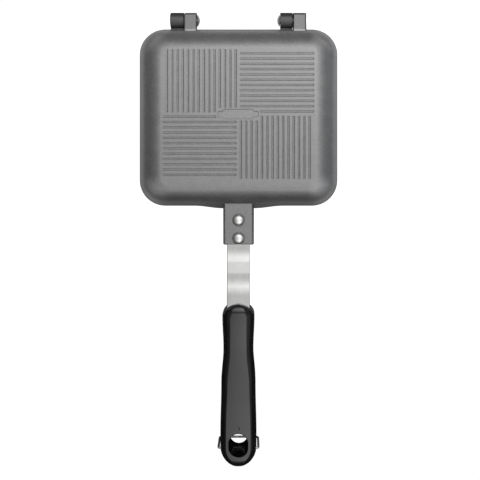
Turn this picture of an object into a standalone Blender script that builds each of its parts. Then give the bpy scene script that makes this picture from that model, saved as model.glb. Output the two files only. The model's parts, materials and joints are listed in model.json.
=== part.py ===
"""Camping toaster: two identical cast pans, hinged together, each on a bent strap with a moulded grip.

+Z is up, +Y points to the hinge and +X to the right of someone who holds the grips. The origin is on the
plane that the lower pan rests on, halfway along the toaster. One half is modelled about the middle of its
own parting plane, where z is 0 and the pan's floor is above, and it is used twice: as it is for the upper
half, and turned about +Y for the lower half. A wire bail that turns in the upper grip closes round the
lower grip.
"""
import math

import bmesh
import bpy
import numpy as np

# Clearances and cutter lengths
GAP = 0.0003
BAIL_SIDE_PLAY = 0.0006
OVERRUN = 0.002

# Pan: outline, wall and floor
PAN_WIDTH = 0.1671
PAN_LENGTH = 0.1500
PAN_DEPTH = 0.0210
PAN_CORNER = 0.0215
RIM_WIDTH = 0.0032
LIP_HEIGHT = 0.0020
WALL_DRAFT = math.radians(22)
FLOOR_FILLET = 0.0185
CORNER_EASE = 0.65
HANDLE_EASE = 0.75
FLOOR_THICKNESS = 0.0032
FLARE_REACH = 0.0380
FLARE_DEPTH = 0.0022

# Grooves in the pan's outer floor, in four quarters round a bare sunk field
PANEL_WIDTH = 0.1240
PANEL_LENGTH = 0.1060
GROOVE_PITCH = 0.0043
GROOVE_WIDTH = 0.0021
GROOVE_BED = 0.0008
GROOVE_DEPTH = 0.0005
QUARTER_LAND = 0.0013
FIELD_WIDTH = 0.0334
FIELD_LENGTH = 0.0082
FIELD_TOP_WIDTH = 0.0224
FIELD_STEP = 0.0017
FIELD_CHAMFER = 0.0016
FIELD_CORNER = 0.0009
FIELD_DEPTH = 0.0006
FIELD_LAND = 0.0010

# Boss that holds the strap
BOSS_LENGTH = 0.0322
BOSS_BASE_WIDTH = 0.0260
BOSS_TOP_WIDTH = 0.0230
BOSS_HEIGHT = 0.0095
BOSS_EDGE = 0.0006
BOSS_CORNER = 0.0014
BOSS_ROOT = 0.0080
SOCKET_DEPTH = 0.0300

# Strap: section, and its bends from the boss to the grip
STRAP_WIDTH = 0.0190
STRAP_THICKNESS = 0.0030
STRAP_EDGE = 0.0003
STRAP_SHOWN = 0.0485
STRAP_FIRST_RUN = 0.0025
RAMP_KICK = math.radians(14)
KICK_RADIUS = 0.0400
RAMP_SLOPE = math.radians(7)
RAMP_RUN = 0.0080
RAMP_RADIUS = 0.0220
SWEEP_SLOPE = math.radians(12)
SWEEP_RADIUS = 0.0430
SWEEP_END_RADIUS = 0.0500

# Rivets through the boss and the strap
RIVET_SPACING = 0.0152
RIVET_FROM_END = 0.0056
RIVET_SHANK = 0.0021
RIVET_HEAD = 0.0047
RIVET_DOME = 0.0019
RIVET_FOOT = 0.0033
RIVET_FOOT_HEIGHT = 0.0011
SPOT_FACE = 0.0053
SPOT_DEPTH = 0.0006

# Hinge: barrels on the parting plane, one inner and one outer lug on each pan
BARREL_RADIUS = 0.0065
INNER_LUG_WIDTH = 0.0104
OUTER_LUG_WIDTH = 0.0115
LUG_START = 0.0351
LUG_HEIGHT = 0.0085
LUG_SHOULDER = 0.0026
LUG_ROOT = 0.0060
LUG_ROUND = 0.0011
LUG_DRAFT = math.radians(2)
LUG_END_DRAFT = math.radians(9)
PIN_RADIUS = 0.0025
PIN_HEAD = 0.0047
PIN_DOME = 0.0022
PIN_TIP = 0.0006

# Grip: plan, side and section
GRIP_LENGTH = 0.1350
NOSE_LENGTH = 0.0100
TAIL_LENGTH = 0.0171
SHOULDER_AT = 0.0100
WAIST_AT = 0.0370
SWELL_AT = 0.0660
PALM_AT = 0.1080
SHOULDER_HALF = 0.01343
WAIST_HALF = 0.0125
SWELL_HALF = 0.0143
PALM_HALF = 0.01505
SHOULDER_TOP = 0.0172
WAIST_TOP = 0.0166
PALM_TOP = 0.0180
GRIP_BELLY = 0.0070
GRIP_FOOT = 0.0030
NOSE_LIP = 0.0036
COLLAR_AT = 0.0098
COLLAR_HALF = 0.0009
COLLAR_DEPTH = 0.0005
FACE_AT = 0.0108
FACE_END = 0.0065
SHOULDER_ROUND = 0.0058
WAIST_ROUND = 0.0057
PALM_ROUND = 0.0050
TAIL_TAPER = 0.0060
RELIEF_TAPER = 0.0165
TAIL_FOOT = 0.0060
SLOT_WIDTH = 0.0155
SLOT_LENGTH = 0.0197
SLOT_FROM_TAIL = 0.0106
STRAP_END_WEB = 0.0031
MARK_RADIUS = 0.0015
MARK_DEPTH = 0.0005

# Latch bail
WIRE_RADIUS = 0.00095
WIRE_BEND = 0.0030
WIRE_EYE_BEND = 0.0015
WIRE_TURN_IN = 0.0050
PIVOT_FROM_TAIL = 0.0152
PIVOT_HEIGHT = 0.0088

# Counts of facets
CORNER_STEPS = 8
FILLET_STEPS = 7
FLARE_STEPS = 5
BARREL_STEPS = 14
ROUND_STEPS = 20
DOME_STEPS = 5
BEND_STEPS = 4
SECTION_STEPS = 5
END_STEPS = 6
BODY_STEPS = 9
WIRE_SIDES = 10
SHARP_FROM = math.radians(32)

# Places that follow from the sizes above
RIM = GAP / 2
HINGE_Y = PAN_LENGTH / 2 + BARREL_RADIUS + GAP
BOSS_END = -PAN_LENGTH / 2 - BOSS_LENGTH
BOSS_STRAP_Z = (RIM + BOSS_HEIGHT) / 2
STRAP_START = BOSS_END + SOCKET_DEPTH - GAP
GRIP_START = BOSS_END - STRAP_SHOWN
GRIP_END = GRIP_START - GRIP_LENGTH
SLOT_CENTRE = GRIP_END + SLOT_FROM_TAIL + SLOT_LENGTH / 2
STRAP_END = SLOT_CENTRE + SLOT_LENGTH / 2 + STRAP_END_WEB + GAP
PIVOT_Y = GRIP_END + PIVOT_FROM_TAIL
MIDDLE_Y = (HINGE_Y + BARREL_RADIUS + GRIP_END) / 2

CAST_GREY = ((0.235, 0.235, 0.238), 0.42, 0.35)
ALUMINIUM = ((0.78, 0.78, 0.76), 0.28, 1.0)
RIVET_METAL = ((0.86, 0.86, 0.86), 0.16, 1.0)
PHENOLIC = ((0.018, 0.017, 0.017), 0.24, 0.0)
STEEL_WIRE = ((0.62, 0.61, 0.58), 0.24, 1.0)


def clear_scene():
    """Remove whatever the opened scene holds."""
    for thing in list(bpy.data.objects):
        bpy.data.objects.remove(thing, do_unlink=True)


def coloured(name, look):
    """A material with the colour, roughness and metallic value of one finish."""
    colour, roughness, metallic = look
    material = bpy.data.materials.new(name)
    material.use_nodes = True
    shader = material.node_tree.nodes["Principled BSDF"]
    shader.inputs["Base Color"].default_value = (*colour, 1.0)
    shader.inputs["Roughness"].default_value = roughness
    shader.inputs["Metallic"].default_value = metallic
    return material


def make_object(name, mesh):
    """Put a mesh into the scene as an object."""
    piece = bpy.data.objects.new(name, mesh)
    bpy.context.scene.collection.objects.link(piece)
    return piece


def body_of_rings(name, rings):
    """A closed body through rings of equally many points, capped at both ends.

    A ring whose points fall together, or lie on one line, closes the body by itself.
    """
    grid = bmesh.new()
    levels = [[grid.verts.new(point) for point in ring] for ring in rings]
    count = len(levels[0])
    for low, high in zip(levels, levels[1:]):
        for here in range(count):
            there = (here + 1) % count
            grid.faces.new((low[here], low[there], high[there], high[here]))
    grid.faces.new(levels[0][::-1])
    grid.faces.new(levels[-1])
    bmesh.ops.remove_doubles(grid, verts=grid.verts, dist=OVERRUN / 1000)
    bmesh.ops.dissolve_degenerate(grid, edges=grid.edges, dist=OVERRUN / 1000)
    bmesh.ops.recalc_face_normals(grid, faces=grid.faces)
    mesh = bpy.data.meshes.new(name)
    grid.to_mesh(mesh)
    grid.free()
    return make_object(name, mesh)


def prism(name, outline, low, high, axis="z"):
    """An outline pushed from low to high along an axis: (x, y) along z, or (y, z) along x."""
    if axis == "z":
        rings = [[(x, y, level) for x, y in outline] for level in (low, high)]
    else:
        rings = [[(level, y, z) for y, z in outline] for level in (low, high)]
    return body_of_rings(name, rings)


def box(name, low, high):
    """A rectangular body between two corners."""
    outline = ((low[0], low[1]), (high[0], low[1]), (high[0], high[1]), (low[0], high[1]))
    return prism(name, outline, low[2], high[2])


def turned(name, profile, centre, axis="z"):
    """A profile of (radius, height) turned about an axis through centre, with heights along the axis."""
    angles = np.linspace(0, 2 * math.pi, ROUND_STEPS, endpoint=False)
    rings = []
    for radius, height in profile:
        round_x = radius * np.cos(angles)
        round_y = radius * np.sin(angles)
        level = np.full(ROUND_STEPS, height)
        along = (round_x, round_y, level) if axis == "z" else (level, round_x, round_y)
        rings.append(np.column_stack(along) + np.array(centre))
    return body_of_rings(name, rings)


def dome(radius, base, height):
    """Profile points of a round cap: on a ball, from its edge at base to its crown on the axis."""
    ball = (radius ** 2 + height ** 2) / (2 * height)
    widest = math.asin(radius / ball)
    points = []
    for step in range(DOME_STEPS + 1):
        angle = widest * (1 - step / DOME_STEPS)
        points.append((ball * math.sin(angle), base + height - ball + ball * math.cos(angle)))
    return points


def obround(width, length, centre_y):
    """Outline of a slot along y with half-round ends."""
    radius = width / 2
    run = length / 2 - radius
    points = []
    for end, first in ((1, 0), (-1, math.pi)):
        for angle in np.linspace(first, first + math.pi, ROUND_STEPS // 2 + 1):
            points.append((radius * math.cos(angle), centre_y + end * run + radius * math.sin(angle)))
    return points


def rounded_rectangle(half_x, half_y, corner, steps):
    """Outline of a rectangle with round corners, anticlockwise from the +x side."""
    points = []
    for quarter, (side_x, side_y) in enumerate(((1, 1), (-1, 1), (-1, -1), (1, -1))):
        for angle in np.linspace(quarter, quarter + 1, steps + 1) * math.pi / 2:
            points.append((side_x * (half_x - corner) + corner * math.cos(angle),
                           side_y * (half_y - corner) + corner * math.sin(angle)))
    return points


def finished(name, base, joins=(), cuts=()):
    """The mesh of a body after joins are united with it and cuts are taken out of it."""
    for tool, work in [(tool, "UNION") for tool in joins] + [(tool, "DIFFERENCE") for tool in cuts]:
        tool.hide_render = True
        tool.display_type = "WIRE"
        step = base.modifiers.new(tool.name, "BOOLEAN")
        step.operation = work
        step.solver = "EXACT"
        step.object = tool
    bpy.context.view_layer.update()
    result = base.evaluated_get(bpy.context.evaluated_depsgraph_get())
    mesh = bpy.data.meshes.new_from_object(result)
    mesh.name = name
    for tool in [base, *joins, *cuts]:
        bpy.data.objects.remove(tool, do_unlink=True)
    return mesh


def joined(name, pieces):
    """One tool made of several bodies that stand clear of each other."""
    grid = bmesh.new()
    for piece in pieces:
        grid.from_mesh(piece.data)
        bpy.data.objects.remove(piece, do_unlink=True)
    mesh = bpy.data.meshes.new(name)
    grid.to_mesh(mesh)
    grid.free()
    return make_object(name, mesh)


def wall_levels(rim_inset, foot, floor, fillet):
    """Insets and heights of a pan wall: upright lip, drafted wall and round turn to the floor."""
    centre_z = floor - fillet
    wall_top = centre_z + fillet * math.sin(WALL_DRAFT)
    centre_inset = rim_inset + math.tan(WALL_DRAFT) * (wall_top - LIP_HEIGHT) + fillet * math.cos(WALL_DRAFT)
    levels = [(rim_inset, foot), (rim_inset, LIP_HEIGHT)]
    for angle in np.linspace(WALL_DRAFT, math.pi / 2, FILLET_STEPS + 1):
        levels.append((centre_inset - fillet * math.cos(angle), centre_z + fillet * math.sin(angle)))
    return levels


def pan_outline(inset, rim_inset):
    """Outline of a pan wall at an inset: the corners tighten slower, and the handle side is steeper."""
    climb = inset - rim_inset
    corner = PAN_CORNER - rim_inset - CORNER_EASE * climb
    ring = rounded_rectangle(PAN_WIDTH / 2 - inset, PAN_LENGTH / 2 - inset, corner, CORNER_STEPS)
    return [(x, y if y > 0 else y - (1 - HANDLE_EASE) * climb) for x, y in ring]


def pan_ring(inset, height, swell):
    """One level of the pan's outside, with its handle side swelled out towards the boss."""
    ring = pan_outline(inset, 0)
    side = 3 * (CORNER_STEPS + 1)
    boss_half = BOSS_BASE_WIDTH / 2
    flare = []
    for x in np.linspace(-FLARE_REACH, FLARE_REACH, 2 * FLARE_STEPS + 1):
        share = max(abs(x) - boss_half, 0) / (FLARE_REACH - boss_half)
        flare.append((x, HANDLE_EASE * inset - PAN_LENGTH / 2 - swell * (1 + math.cos(math.pi * share)) / 2))
    outline = ring[:side] + flare + ring[side:]
    return [(x, y, height) for x, y in outline]


def pan_outside():
    """The pan's outer form, still solid."""
    rings = []
    for inset, height in wall_levels(0, RIM, PAN_DEPTH, FLOOR_FILLET):
        swell = FLARE_DEPTH * (1 - height / PAN_DEPTH) ** 2
        rings.append(pan_ring(inset, height, swell))
    return body_of_rings("pan_outside", rings)


def pan_hollow():
    """The space inside the pan, open at the rim."""
    fillet = FLOOR_FILLET - FLOOR_THICKNESS
    levels = wall_levels(RIM_WIDTH, RIM - OVERRUN, PAN_DEPTH - FLOOR_THICKNESS, fillet)
    rings = []
    for inset, height in levels:
        rings.append([(x, y, height) for x, y in pan_outline(inset, RIM_WIDTH)])
    return body_of_rings("pan_hollow", rings)


def boss():
    """The drafted block on the pan's handle side."""
    root = -PAN_LENGTH / 2 + BOSS_ROOT
    slope = (BOSS_BASE_WIDTH - BOSS_TOP_WIDTH) / 2 / (BOSS_HEIGHT - RIM)
    rings = []
    for height, trim in ((RIM, 0), (BOSS_HEIGHT - BOSS_EDGE, 0), (BOSS_HEIGHT, BOSS_EDGE / 2)):
        half = BOSS_BASE_WIDTH / 2 - slope * (height - RIM) - trim
        end = BOSS_END + slope / 2 * (height - RIM) + trim
        rings.append([(half, root, height), (-half, root, height), (-half, end + BOSS_CORNER, height),
                      (BOSS_CORNER - half, end, height), (half - BOSS_CORNER, end, height),
                      (half, end + BOSS_CORNER, height)])
    return body_of_rings("boss", rings)


def lug_span(outer):
    """Distances from the middle to the near and the far face of an inner or an outer lug."""
    if outer:
        start = LUG_START + INNER_LUG_WIDTH + GAP
        return start, start + OUTER_LUG_WIDTH
    return LUG_START, LUG_START + INNER_LUG_WIDTH


def lug_outline(inset):
    """Outline (y, z) of a lug: a barrel on the parting plane with a flat back that runs into the pan."""
    barrel = BARREL_RADIUS - inset
    shoulder = LUG_SHOULDER - inset
    height = LUG_HEIGHT - inset
    meet = math.atan2(height, shoulder) - math.acos(barrel / math.hypot(shoulder, height))
    outline = []
    for angle in np.linspace(meet, -math.pi, BARREL_STEPS + 1):
        outline.append((HINGE_Y + barrel * math.cos(angle), barrel * math.sin(angle)))
    root = PAN_LENGTH / 2 - LUG_ROOT
    return outline + [(HINGE_Y - barrel, RIM), (root, RIM), (root, height), (HINGE_Y + shoulder, height)]


def lug(name, side, outer):
    """One hinge lug, drafted away from the parting plane, with its edges rounded at the far end."""
    near, far = lug_span(outer)
    levels = [(near, 0, LUG_DRAFT)]
    for angle in np.linspace(0, math.pi / 2, BEND_STEPS + 1):
        levels.append((far - LUG_ROUND * (1 - math.sin(angle)), LUG_ROUND * (1 - math.cos(angle)),
                       -LUG_END_DRAFT if outer else -LUG_DRAFT))
    rings = []
    for place, inset, draft in levels:
        rings.append([(side * (place + math.tan(draft) * max(z, 0)), y, z) for y, z in lug_outline(inset)])
    return body_of_rings(name, rings)


def lug_bore(name, side, outer):
    """The pin's hole through one lug."""
    near, far = lug_span(outer)
    near = side * (near - OVERRUN / 2)
    far = side * (far + OVERRUN / 2)
    radius = PIN_RADIUS + GAP
    profile = [(0, min(near, far)), (radius, min(near, far)), (radius, max(near, far)), (0, max(near, far))]
    return turned(name, profile, (0, HINGE_Y, 0), axis="x")


def groove(name, low, high):
    """Cutter of one groove between two corners of its mouth, with sloping sides and ends."""
    slope = (GROOVE_WIDTH - GROOVE_BED) / 2 / GROOVE_DEPTH
    rings = []
    for above in (-GROOVE_DEPTH, GROOVE_DEPTH / 2):
        grow = slope * above
        outline = ((low[0] - grow, low[1] - grow), (high[0] + grow, low[1] - grow),
                   (high[0] + grow, high[1] + grow), (low[0] - grow, high[1] + grow))
        rings.append([(x, y, PAN_DEPTH + above) for x, y in outline])
    return body_of_rings(name, rings)


def quarter_grooves(side_x, side_y, upright):
    """Cutters of the grooves of one quarter, stopped short at the bare field."""
    across, along = (PANEL_WIDTH / 2, PANEL_LENGTH / 2) if upright else (PANEL_LENGTH / 2, PANEL_WIDTH / 2)
    field_across, field_along = (FIELD_WIDTH / 2, FIELD_LENGTH / 2)
    if not upright:
        field_across, field_along = field_along, field_across
    cutters = []
    for number in range(int(across / GROOVE_PITCH)):
        middle = GROOVE_PITCH * (number + 1 / 2)
        beside_field = middle < field_across + FIELD_LAND + GROOVE_WIDTH / 2
        start = field_along + FIELD_LAND if beside_field else QUARTER_LAND
        near = (middle - GROOVE_WIDTH / 2, start)
        far = (middle + GROOVE_WIDTH / 2, along)
        if not upright:
            near, far = near[::-1], far[::-1]
        corners_x = sorted((side_x * near[0], side_x * far[0]))
        corners_y = sorted((side_y * near[1], side_y * far[1]))
        cutters.append(groove(f"groove_{number}", (corners_x[0], corners_y[0]), (corners_x[1], corners_y[1])))
    return cutters


def floor_pattern():
    """One tool with every groove: upright in two opposite quarters, level in the other two."""
    cutters = []
    for side_x, side_y in ((-1, 1), (1, 1), (-1, -1), (1, -1)):
        cutters += quarter_grooves(side_x, side_y, upright=side_x != side_y)
    return joined("grooves", cutters)


def bare_field():
    """Cutter of the sunk field in the middle of the floor, with stepped and chamfered corners."""
    quarter = [(FIELD_WIDTH / 2, FIELD_LENGTH / 2 - FIELD_STEP - FIELD_CORNER),
               (FIELD_WIDTH / 2 - FIELD_CORNER, FIELD_LENGTH / 2 - FIELD_STEP),
               (FIELD_TOP_WIDTH / 2 + FIELD_CHAMFER, FIELD_LENGTH / 2 - FIELD_STEP),
               (FIELD_TOP_WIDTH / 2, FIELD_LENGTH / 2)]
    upper = quarter + [(-x, y) for x, y in reversed(quarter)]
    outline = upper + [(-x, -y) for x, y in upper]
    return prism("field", outline, PAN_DEPTH - FIELD_DEPTH, PAN_DEPTH + FIELD_DEPTH)


def rivet_places():
    """Distances along y of the two rivets, the one nearer the grip first."""
    front = BOSS_END + RIVET_FROM_END
    return (front, front + RIVET_SPACING)


def rivet_hole(name, place):
    """Cutter of one rivet's hole: a splayed foot, the shank and a spot face for the head."""
    seat = BOSS_HEIGHT - SPOT_DEPTH
    profile = [(0, RIM - OVERRUN), (RIVET_FOOT + GAP, RIM - OVERRUN), (RIVET_FOOT + GAP, RIM + GAP),
               (RIVET_SHANK + GAP, RIM + RIVET_FOOT_HEIGHT + GAP), (RIVET_SHANK + GAP, seat),
               (SPOT_FACE, seat), (SPOT_FACE, BOSS_HEIGHT + OVERRUN), (0, BOSS_HEIGHT + OVERRUN)]
    return turned(name, profile, (0, place, 0))


def pan_mesh():
    """The whole casting."""
    socket_half = STRAP_WIDTH / 2 + GAP
    socket_rise = STRAP_THICKNESS / 2 + GAP
    socket = box("socket", (-socket_half, BOSS_END - OVERRUN, BOSS_STRAP_Z - socket_rise),
                 (socket_half, BOSS_END + SOCKET_DEPTH, BOSS_STRAP_Z + socket_rise))
    joins = [boss(), lug("inner_lug", -1, False), lug("outer_lug", 1, True)]
    cuts = [pan_hollow(), floor_pattern(), bare_field(), socket,
            lug_bore("inner_bore", -1, False), lug_bore("outer_bore", 1, True)]
    cuts += [rivet_hole(f"rivet_hole_{number}", place) for number, place in enumerate(rivet_places())]
    return finished("pan", pan_outside(), joins, cuts)


def hinge_pin_mesh():
    """Domed pin that is fixed in the inner lug and runs on into the other pan's outer lug."""
    tip = lug_span(True)[1] - GAP
    profile = [(0, -tip), (PIN_RADIUS - PIN_TIP, -tip), (PIN_RADIUS, PIN_TIP - tip),
               (PIN_RADIUS, GAP - LUG_START), *dome(PIN_HEAD, GAP - LUG_START, PIN_DOME)]
    return finished("hinge_pin", turned("pin", profile, (0, HINGE_Y, 0), axis="x"))


def rivet_mesh():
    """Domed rivet about the z axis, with its splayed foot just inside the parting face."""
    seat = BOSS_HEIGHT - SPOT_DEPTH + GAP
    profile = [(0, RIM), (RIVET_FOOT, RIM), (RIVET_SHANK, RIM + RIVET_FOOT_HEIGHT), (RIVET_SHANK, seat),
               *dome(RIVET_HEAD, seat, RIVET_DOME)]
    return finished("rivet", turned("rivet", profile, (0, 0, 0)))


def strap_path():
    """Points (y, z) and slopes along the strap's middle, from the boss's socket to the grip's slot.

    Each bend is an arc, given by its turn and radius, and each run is straight. The slope is the climb
    towards the grip.
    """
    y, z, slope = STRAP_START, BOSS_STRAP_Z, 0.0
    path = [(y, z, slope)]

    def run(length):
        nonlocal y, z
        y -= length * math.cos(slope)
        z += length * math.sin(slope)
        path.append((y, z, slope))

    def bend(turn, radius):
        nonlocal slope
        for _ in range(BEND_STEPS):
            slope += turn / BEND_STEPS / 2
            run_length = 2 * radius * math.sin(abs(turn) / BEND_STEPS / 2)
            run(run_length)
            slope += turn / BEND_STEPS / 2
            path[-1] = (y, z, slope)

    run(y - BOSS_END + STRAP_FIRST_RUN)
    bend(RAMP_KICK, KICK_RADIUS)
    bend(RAMP_SLOPE - RAMP_KICK, RAMP_RADIUS)
    run(RAMP_RUN)
    bend(-RAMP_SLOPE, RAMP_RADIUS)
    bend(SWEEP_SLOPE, SWEEP_RADIUS)
    bend(-SWEEP_SLOPE, SWEEP_END_RADIUS)
    run(y - STRAP_END)
    return path


def strap_height():
    """Height of the strap's middle inside the grip."""
    return strap_path()[-1][1]


def strap_mesh():
    """The bent flat bar with eased edges and two rivet holes."""
    half = STRAP_WIDTH / 2
    thick = STRAP_THICKNESS / 2
    section = [(half, STRAP_EDGE - thick), (half, thick - STRAP_EDGE), (half - STRAP_EDGE, thick),
               (STRAP_EDGE - half, thick), (-half, thick - STRAP_EDGE), (-half, STRAP_EDGE - thick),
               (STRAP_EDGE - half, -thick), (half - STRAP_EDGE, -thick)]
    rings = []
    for y, z, slope in strap_path():
        rings.append([(x, y + rise * math.sin(slope), z + rise * math.cos(slope)) for x, rise in section])
    radius = RIVET_SHANK + GAP
    holes = []
    for number, place in enumerate(rivet_places()):
        profile = [(0, -BOSS_HEIGHT), (radius, -BOSS_HEIGHT), (radius, 2 * BOSS_HEIGHT), (0, 2 * BOSS_HEIGHT)]
        holes.append(turned(f"strap_hole_{number}", profile, (0, place, 0)))
    return finished("strap", body_of_rings("bar", rings), cuts=holes)


def eased(stations, place):
    """Value at a place along the grip: a cosine from each (place, value) station to the next."""
    places, values = zip(*stations)
    if place <= places[0]:
        return values[0]
    for start, end, here, there in zip(places, places[1:], values, values[1:]):
        if place <= end:
            share = (1 - math.cos(math.pi * (place - start) / (end - start))) / 2
            return here + (there - here) * share
    return values[-1]


def round_end(distance, length):
    """Share of the full size at a distance from a round end: an ellipse's quarter."""
    if distance >= length:
        return 1.0
    return math.sqrt(max(1 - (1 - distance / length) ** 2, 0))


def grip_section(place, taper):
    """One closed section of the grip, at a place counted from its nose, with its face tapered at the tail.

    The half width is the grip's plan, narrowed at both round ends. The face is flat between round
    shoulders, the belly is widest at its own height, and the parting side has smaller round edges.
    """
    from_tail = GRIP_LENGTH - place
    ends = round_end(place, NOSE_LENGTH) * round_end(from_tail, TAIL_LENGTH)
    plan = ((SHOULDER_AT, SHOULDER_HALF), (WAIST_AT, WAIST_HALF), (SWELL_AT, SWELL_HALF), (PALM_AT, PALM_HALF))
    half = ends * eased(plan, place)
    middle = strap_height()
    full_top = eased(((SHOULDER_AT, SHOULDER_TOP), (WAIST_AT, WAIST_TOP), (PALM_AT, PALM_TOP)), place)
    nose_top = middle + NOSE_LIP
    top = nose_top + (full_top - nose_top) * round_end(place, COLLAR_AT)
    if abs(place - COLLAR_AT) < COLLAR_HALF / 2:
        top -= COLLAR_DEPTH
    top = GRIP_BELLY + (top - GRIP_BELLY) * round_end(from_tail, taper)
    nose_foot = (middle - NOSE_LIP - GAP) * (1 - round_end(place, NOSE_LENGTH))
    foot = GAP + nose_foot + (GRIP_BELLY - GAP) * (1 - round_end(from_tail, TAIL_FOOT))
    belly = min(GRIP_BELLY, top) if place > NOSE_LENGTH else max(GRIP_BELLY, foot)
    shoulder = eased(((SHOULDER_AT, SHOULDER_ROUND), (WAIST_AT, WAIST_ROUND), (PALM_AT, PALM_ROUND)), place)
    face = (half - shoulder) * round_end(max(place - FACE_AT, 0), FACE_END)
    face = max(face, half / 4)
    low_round = min(GRIP_FOOT, half / 2)
    right = []
    for angle in np.linspace(0, math.pi / 2, SECTION_STEPS):
        right.append((half - low_round * (1 - math.sin(angle)), belly - (belly - foot) * math.cos(angle)))
    for angle in np.linspace(0, math.pi / 2, SECTION_STEPS + 1)[1:]:
        right.append((face + (half - face) * math.cos(angle), belly + (top - belly) * math.sin(angle)))
    left = [(-x, z) for x, z in reversed(right)]
    return [(x, GRIP_START - place, z) for x, z in right + left]


def grip_places():
    """Places of the grip's sections: close together at the round ends and round the collar's groove."""
    nose = [COLLAR_AT * (1 - math.cos(math.pi / 2 * step / END_STEPS)) for step in range(END_STEPS)]
    collar = [COLLAR_AT - COLLAR_HALF, COLLAR_AT, COLLAR_AT + COLLAR_HALF]
    face = list(np.linspace(FACE_AT, FACE_AT + FACE_END, SECTION_STEPS)[1:])
    body = list(np.linspace(face[-1], GRIP_LENGTH - TAIL_LENGTH, BODY_STEPS)[1:])
    tail = [GRIP_LENGTH - TAIL_LENGTH * (1 - math.sin(math.pi / 2 * step / (2 * END_STEPS)))
            for step in range(1, 2 * END_STEPS + 1)]
    return sorted([place for place in nose if place < collar[0]] + collar + face + body + tail)


def grip_mesh(taper):
    """The moulded grip: hanging slot, strap slot, two blind pivot holes and the mould's locating mark.

    The lower grip has the longer taper, so that the bail's crossbar swings clear of its tail.
    """
    middle = strap_height()
    slot = prism("slot", obround(SLOT_WIDTH, SLOT_LENGTH, SLOT_CENTRE), -OVERRUN, PALM_TOP + OVERRUN)
    half = STRAP_WIDTH / 2 + GAP
    rise = STRAP_THICKNESS / 2 + GAP
    strap_slot = box("strap_slot", (-half, STRAP_END - GAP, middle - rise),
                     (half, GRIP_START + OVERRUN, middle + rise))
    radius = WIRE_RADIUS + GAP
    bottom = PALM_HALF - WIRE_TURN_IN - GAP
    holes = []
    for name, side in (("left_pivot", -1), ("right_pivot", 1)):
        ends = sorted((side * bottom, side * (PALM_HALF + OVERRUN)))
        profile = [(0, ends[0]), (radius, ends[0]), (radius, ends[1]), (0, ends[1])]
        holes.append(turned(name, profile, (0, PIVOT_Y, PIVOT_HEIGHT), axis="x"))
    mark = [(0, PALM_TOP - MARK_DEPTH), (MARK_RADIUS, PALM_TOP - MARK_DEPTH),
            (MARK_RADIUS, PALM_TOP + OVERRUN), (0, PALM_TOP + OVERRUN)]
    holes.append(turned("mark", mark, (0, STRAP_END, 0)))
    block = body_of_rings("grip", [grip_section(place, taper) for place in grip_places()])
    return finished("grip", block, cuts=[slot, *holes, strap_slot])


def round_corners(corners, radii):
    """Points along straight runs between corners, each inner corner turned square at its radius."""
    points = [np.array(corners[0])]
    for before, here, after, radius in zip(corners, corners[1:], corners[2:], radii):
        back = np.array(before) - np.array(here)
        ahead = np.array(after) - np.array(here)
        back = back / np.linalg.norm(back)
        ahead = ahead / np.linalg.norm(ahead)
        centre = np.array(here) + radius * (back + ahead)
        for angle in np.linspace(0, math.pi / 2, BEND_STEPS + 1):
            points.append(centre - radius * (ahead * math.cos(angle) + back * math.sin(angle)))
    points.append(np.array(corners[-1]))
    return points


def bail_mesh():
    """The bail: turned-in wire ends in the upper grip, two arms, and a crossbar under the lower grip."""
    arm = PALM_HALF + BAIL_SIDE_PLAY + WIRE_RADIUS
    tip = PALM_HALF - WIRE_TURN_IN
    low = -(PALM_TOP + GAP + WIRE_RADIUS)
    corners = [(-tip, PIVOT_HEIGHT), (-arm, PIVOT_HEIGHT), (-arm, low), (arm, low), (arm, PIVOT_HEIGHT),
               (tip, PIVOT_HEIGHT)]
    path = round_corners(corners, (WIRE_EYE_BEND, WIRE_BEND, WIRE_BEND, WIRE_EYE_BEND))
    rings = []
    for number, point in enumerate(path):
        ahead = path[min(number + 1, len(path) - 1)] - path[max(number - 1, 0)]
        ahead = ahead / np.linalg.norm(ahead)
        ring = []
        for angle in np.linspace(0, 2 * math.pi, WIRE_SIDES, endpoint=False):
            out = WIRE_RADIUS * math.cos(angle)
            ring.append((point[0] - ahead[1] * out, PIVOT_Y + WIRE_RADIUS * math.sin(angle),
                         point[1] + ahead[0] * out))
        rings.append(ring)
    return finished("bail", body_of_rings("wire", rings))


def pivot_empty(name, place, turn=0.0):
    """An empty on a joint's axis, turned about +Y by an angle."""
    empty = bpy.data.objects.new(name, None)
    empty.location = place
    empty.rotation_euler = (0, turn, 0)
    bpy.context.scene.collection.objects.link(empty)
    return empty


def place_piece(name, mesh, look, parent, location):
    """A finished piece under its parent, shaded smooth between its sharp edges."""
    piece = make_object(name, mesh.copy())
    piece.data.name = name
    piece.data.shade_smooth()
    piece.data.set_sharp_from_angle(angle=SHARP_FROM)
    piece.data.materials.clear()
    piece.data.materials.append(coloured(name, look))
    piece.parent = parent
    piece.location = location
    return piece


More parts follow.
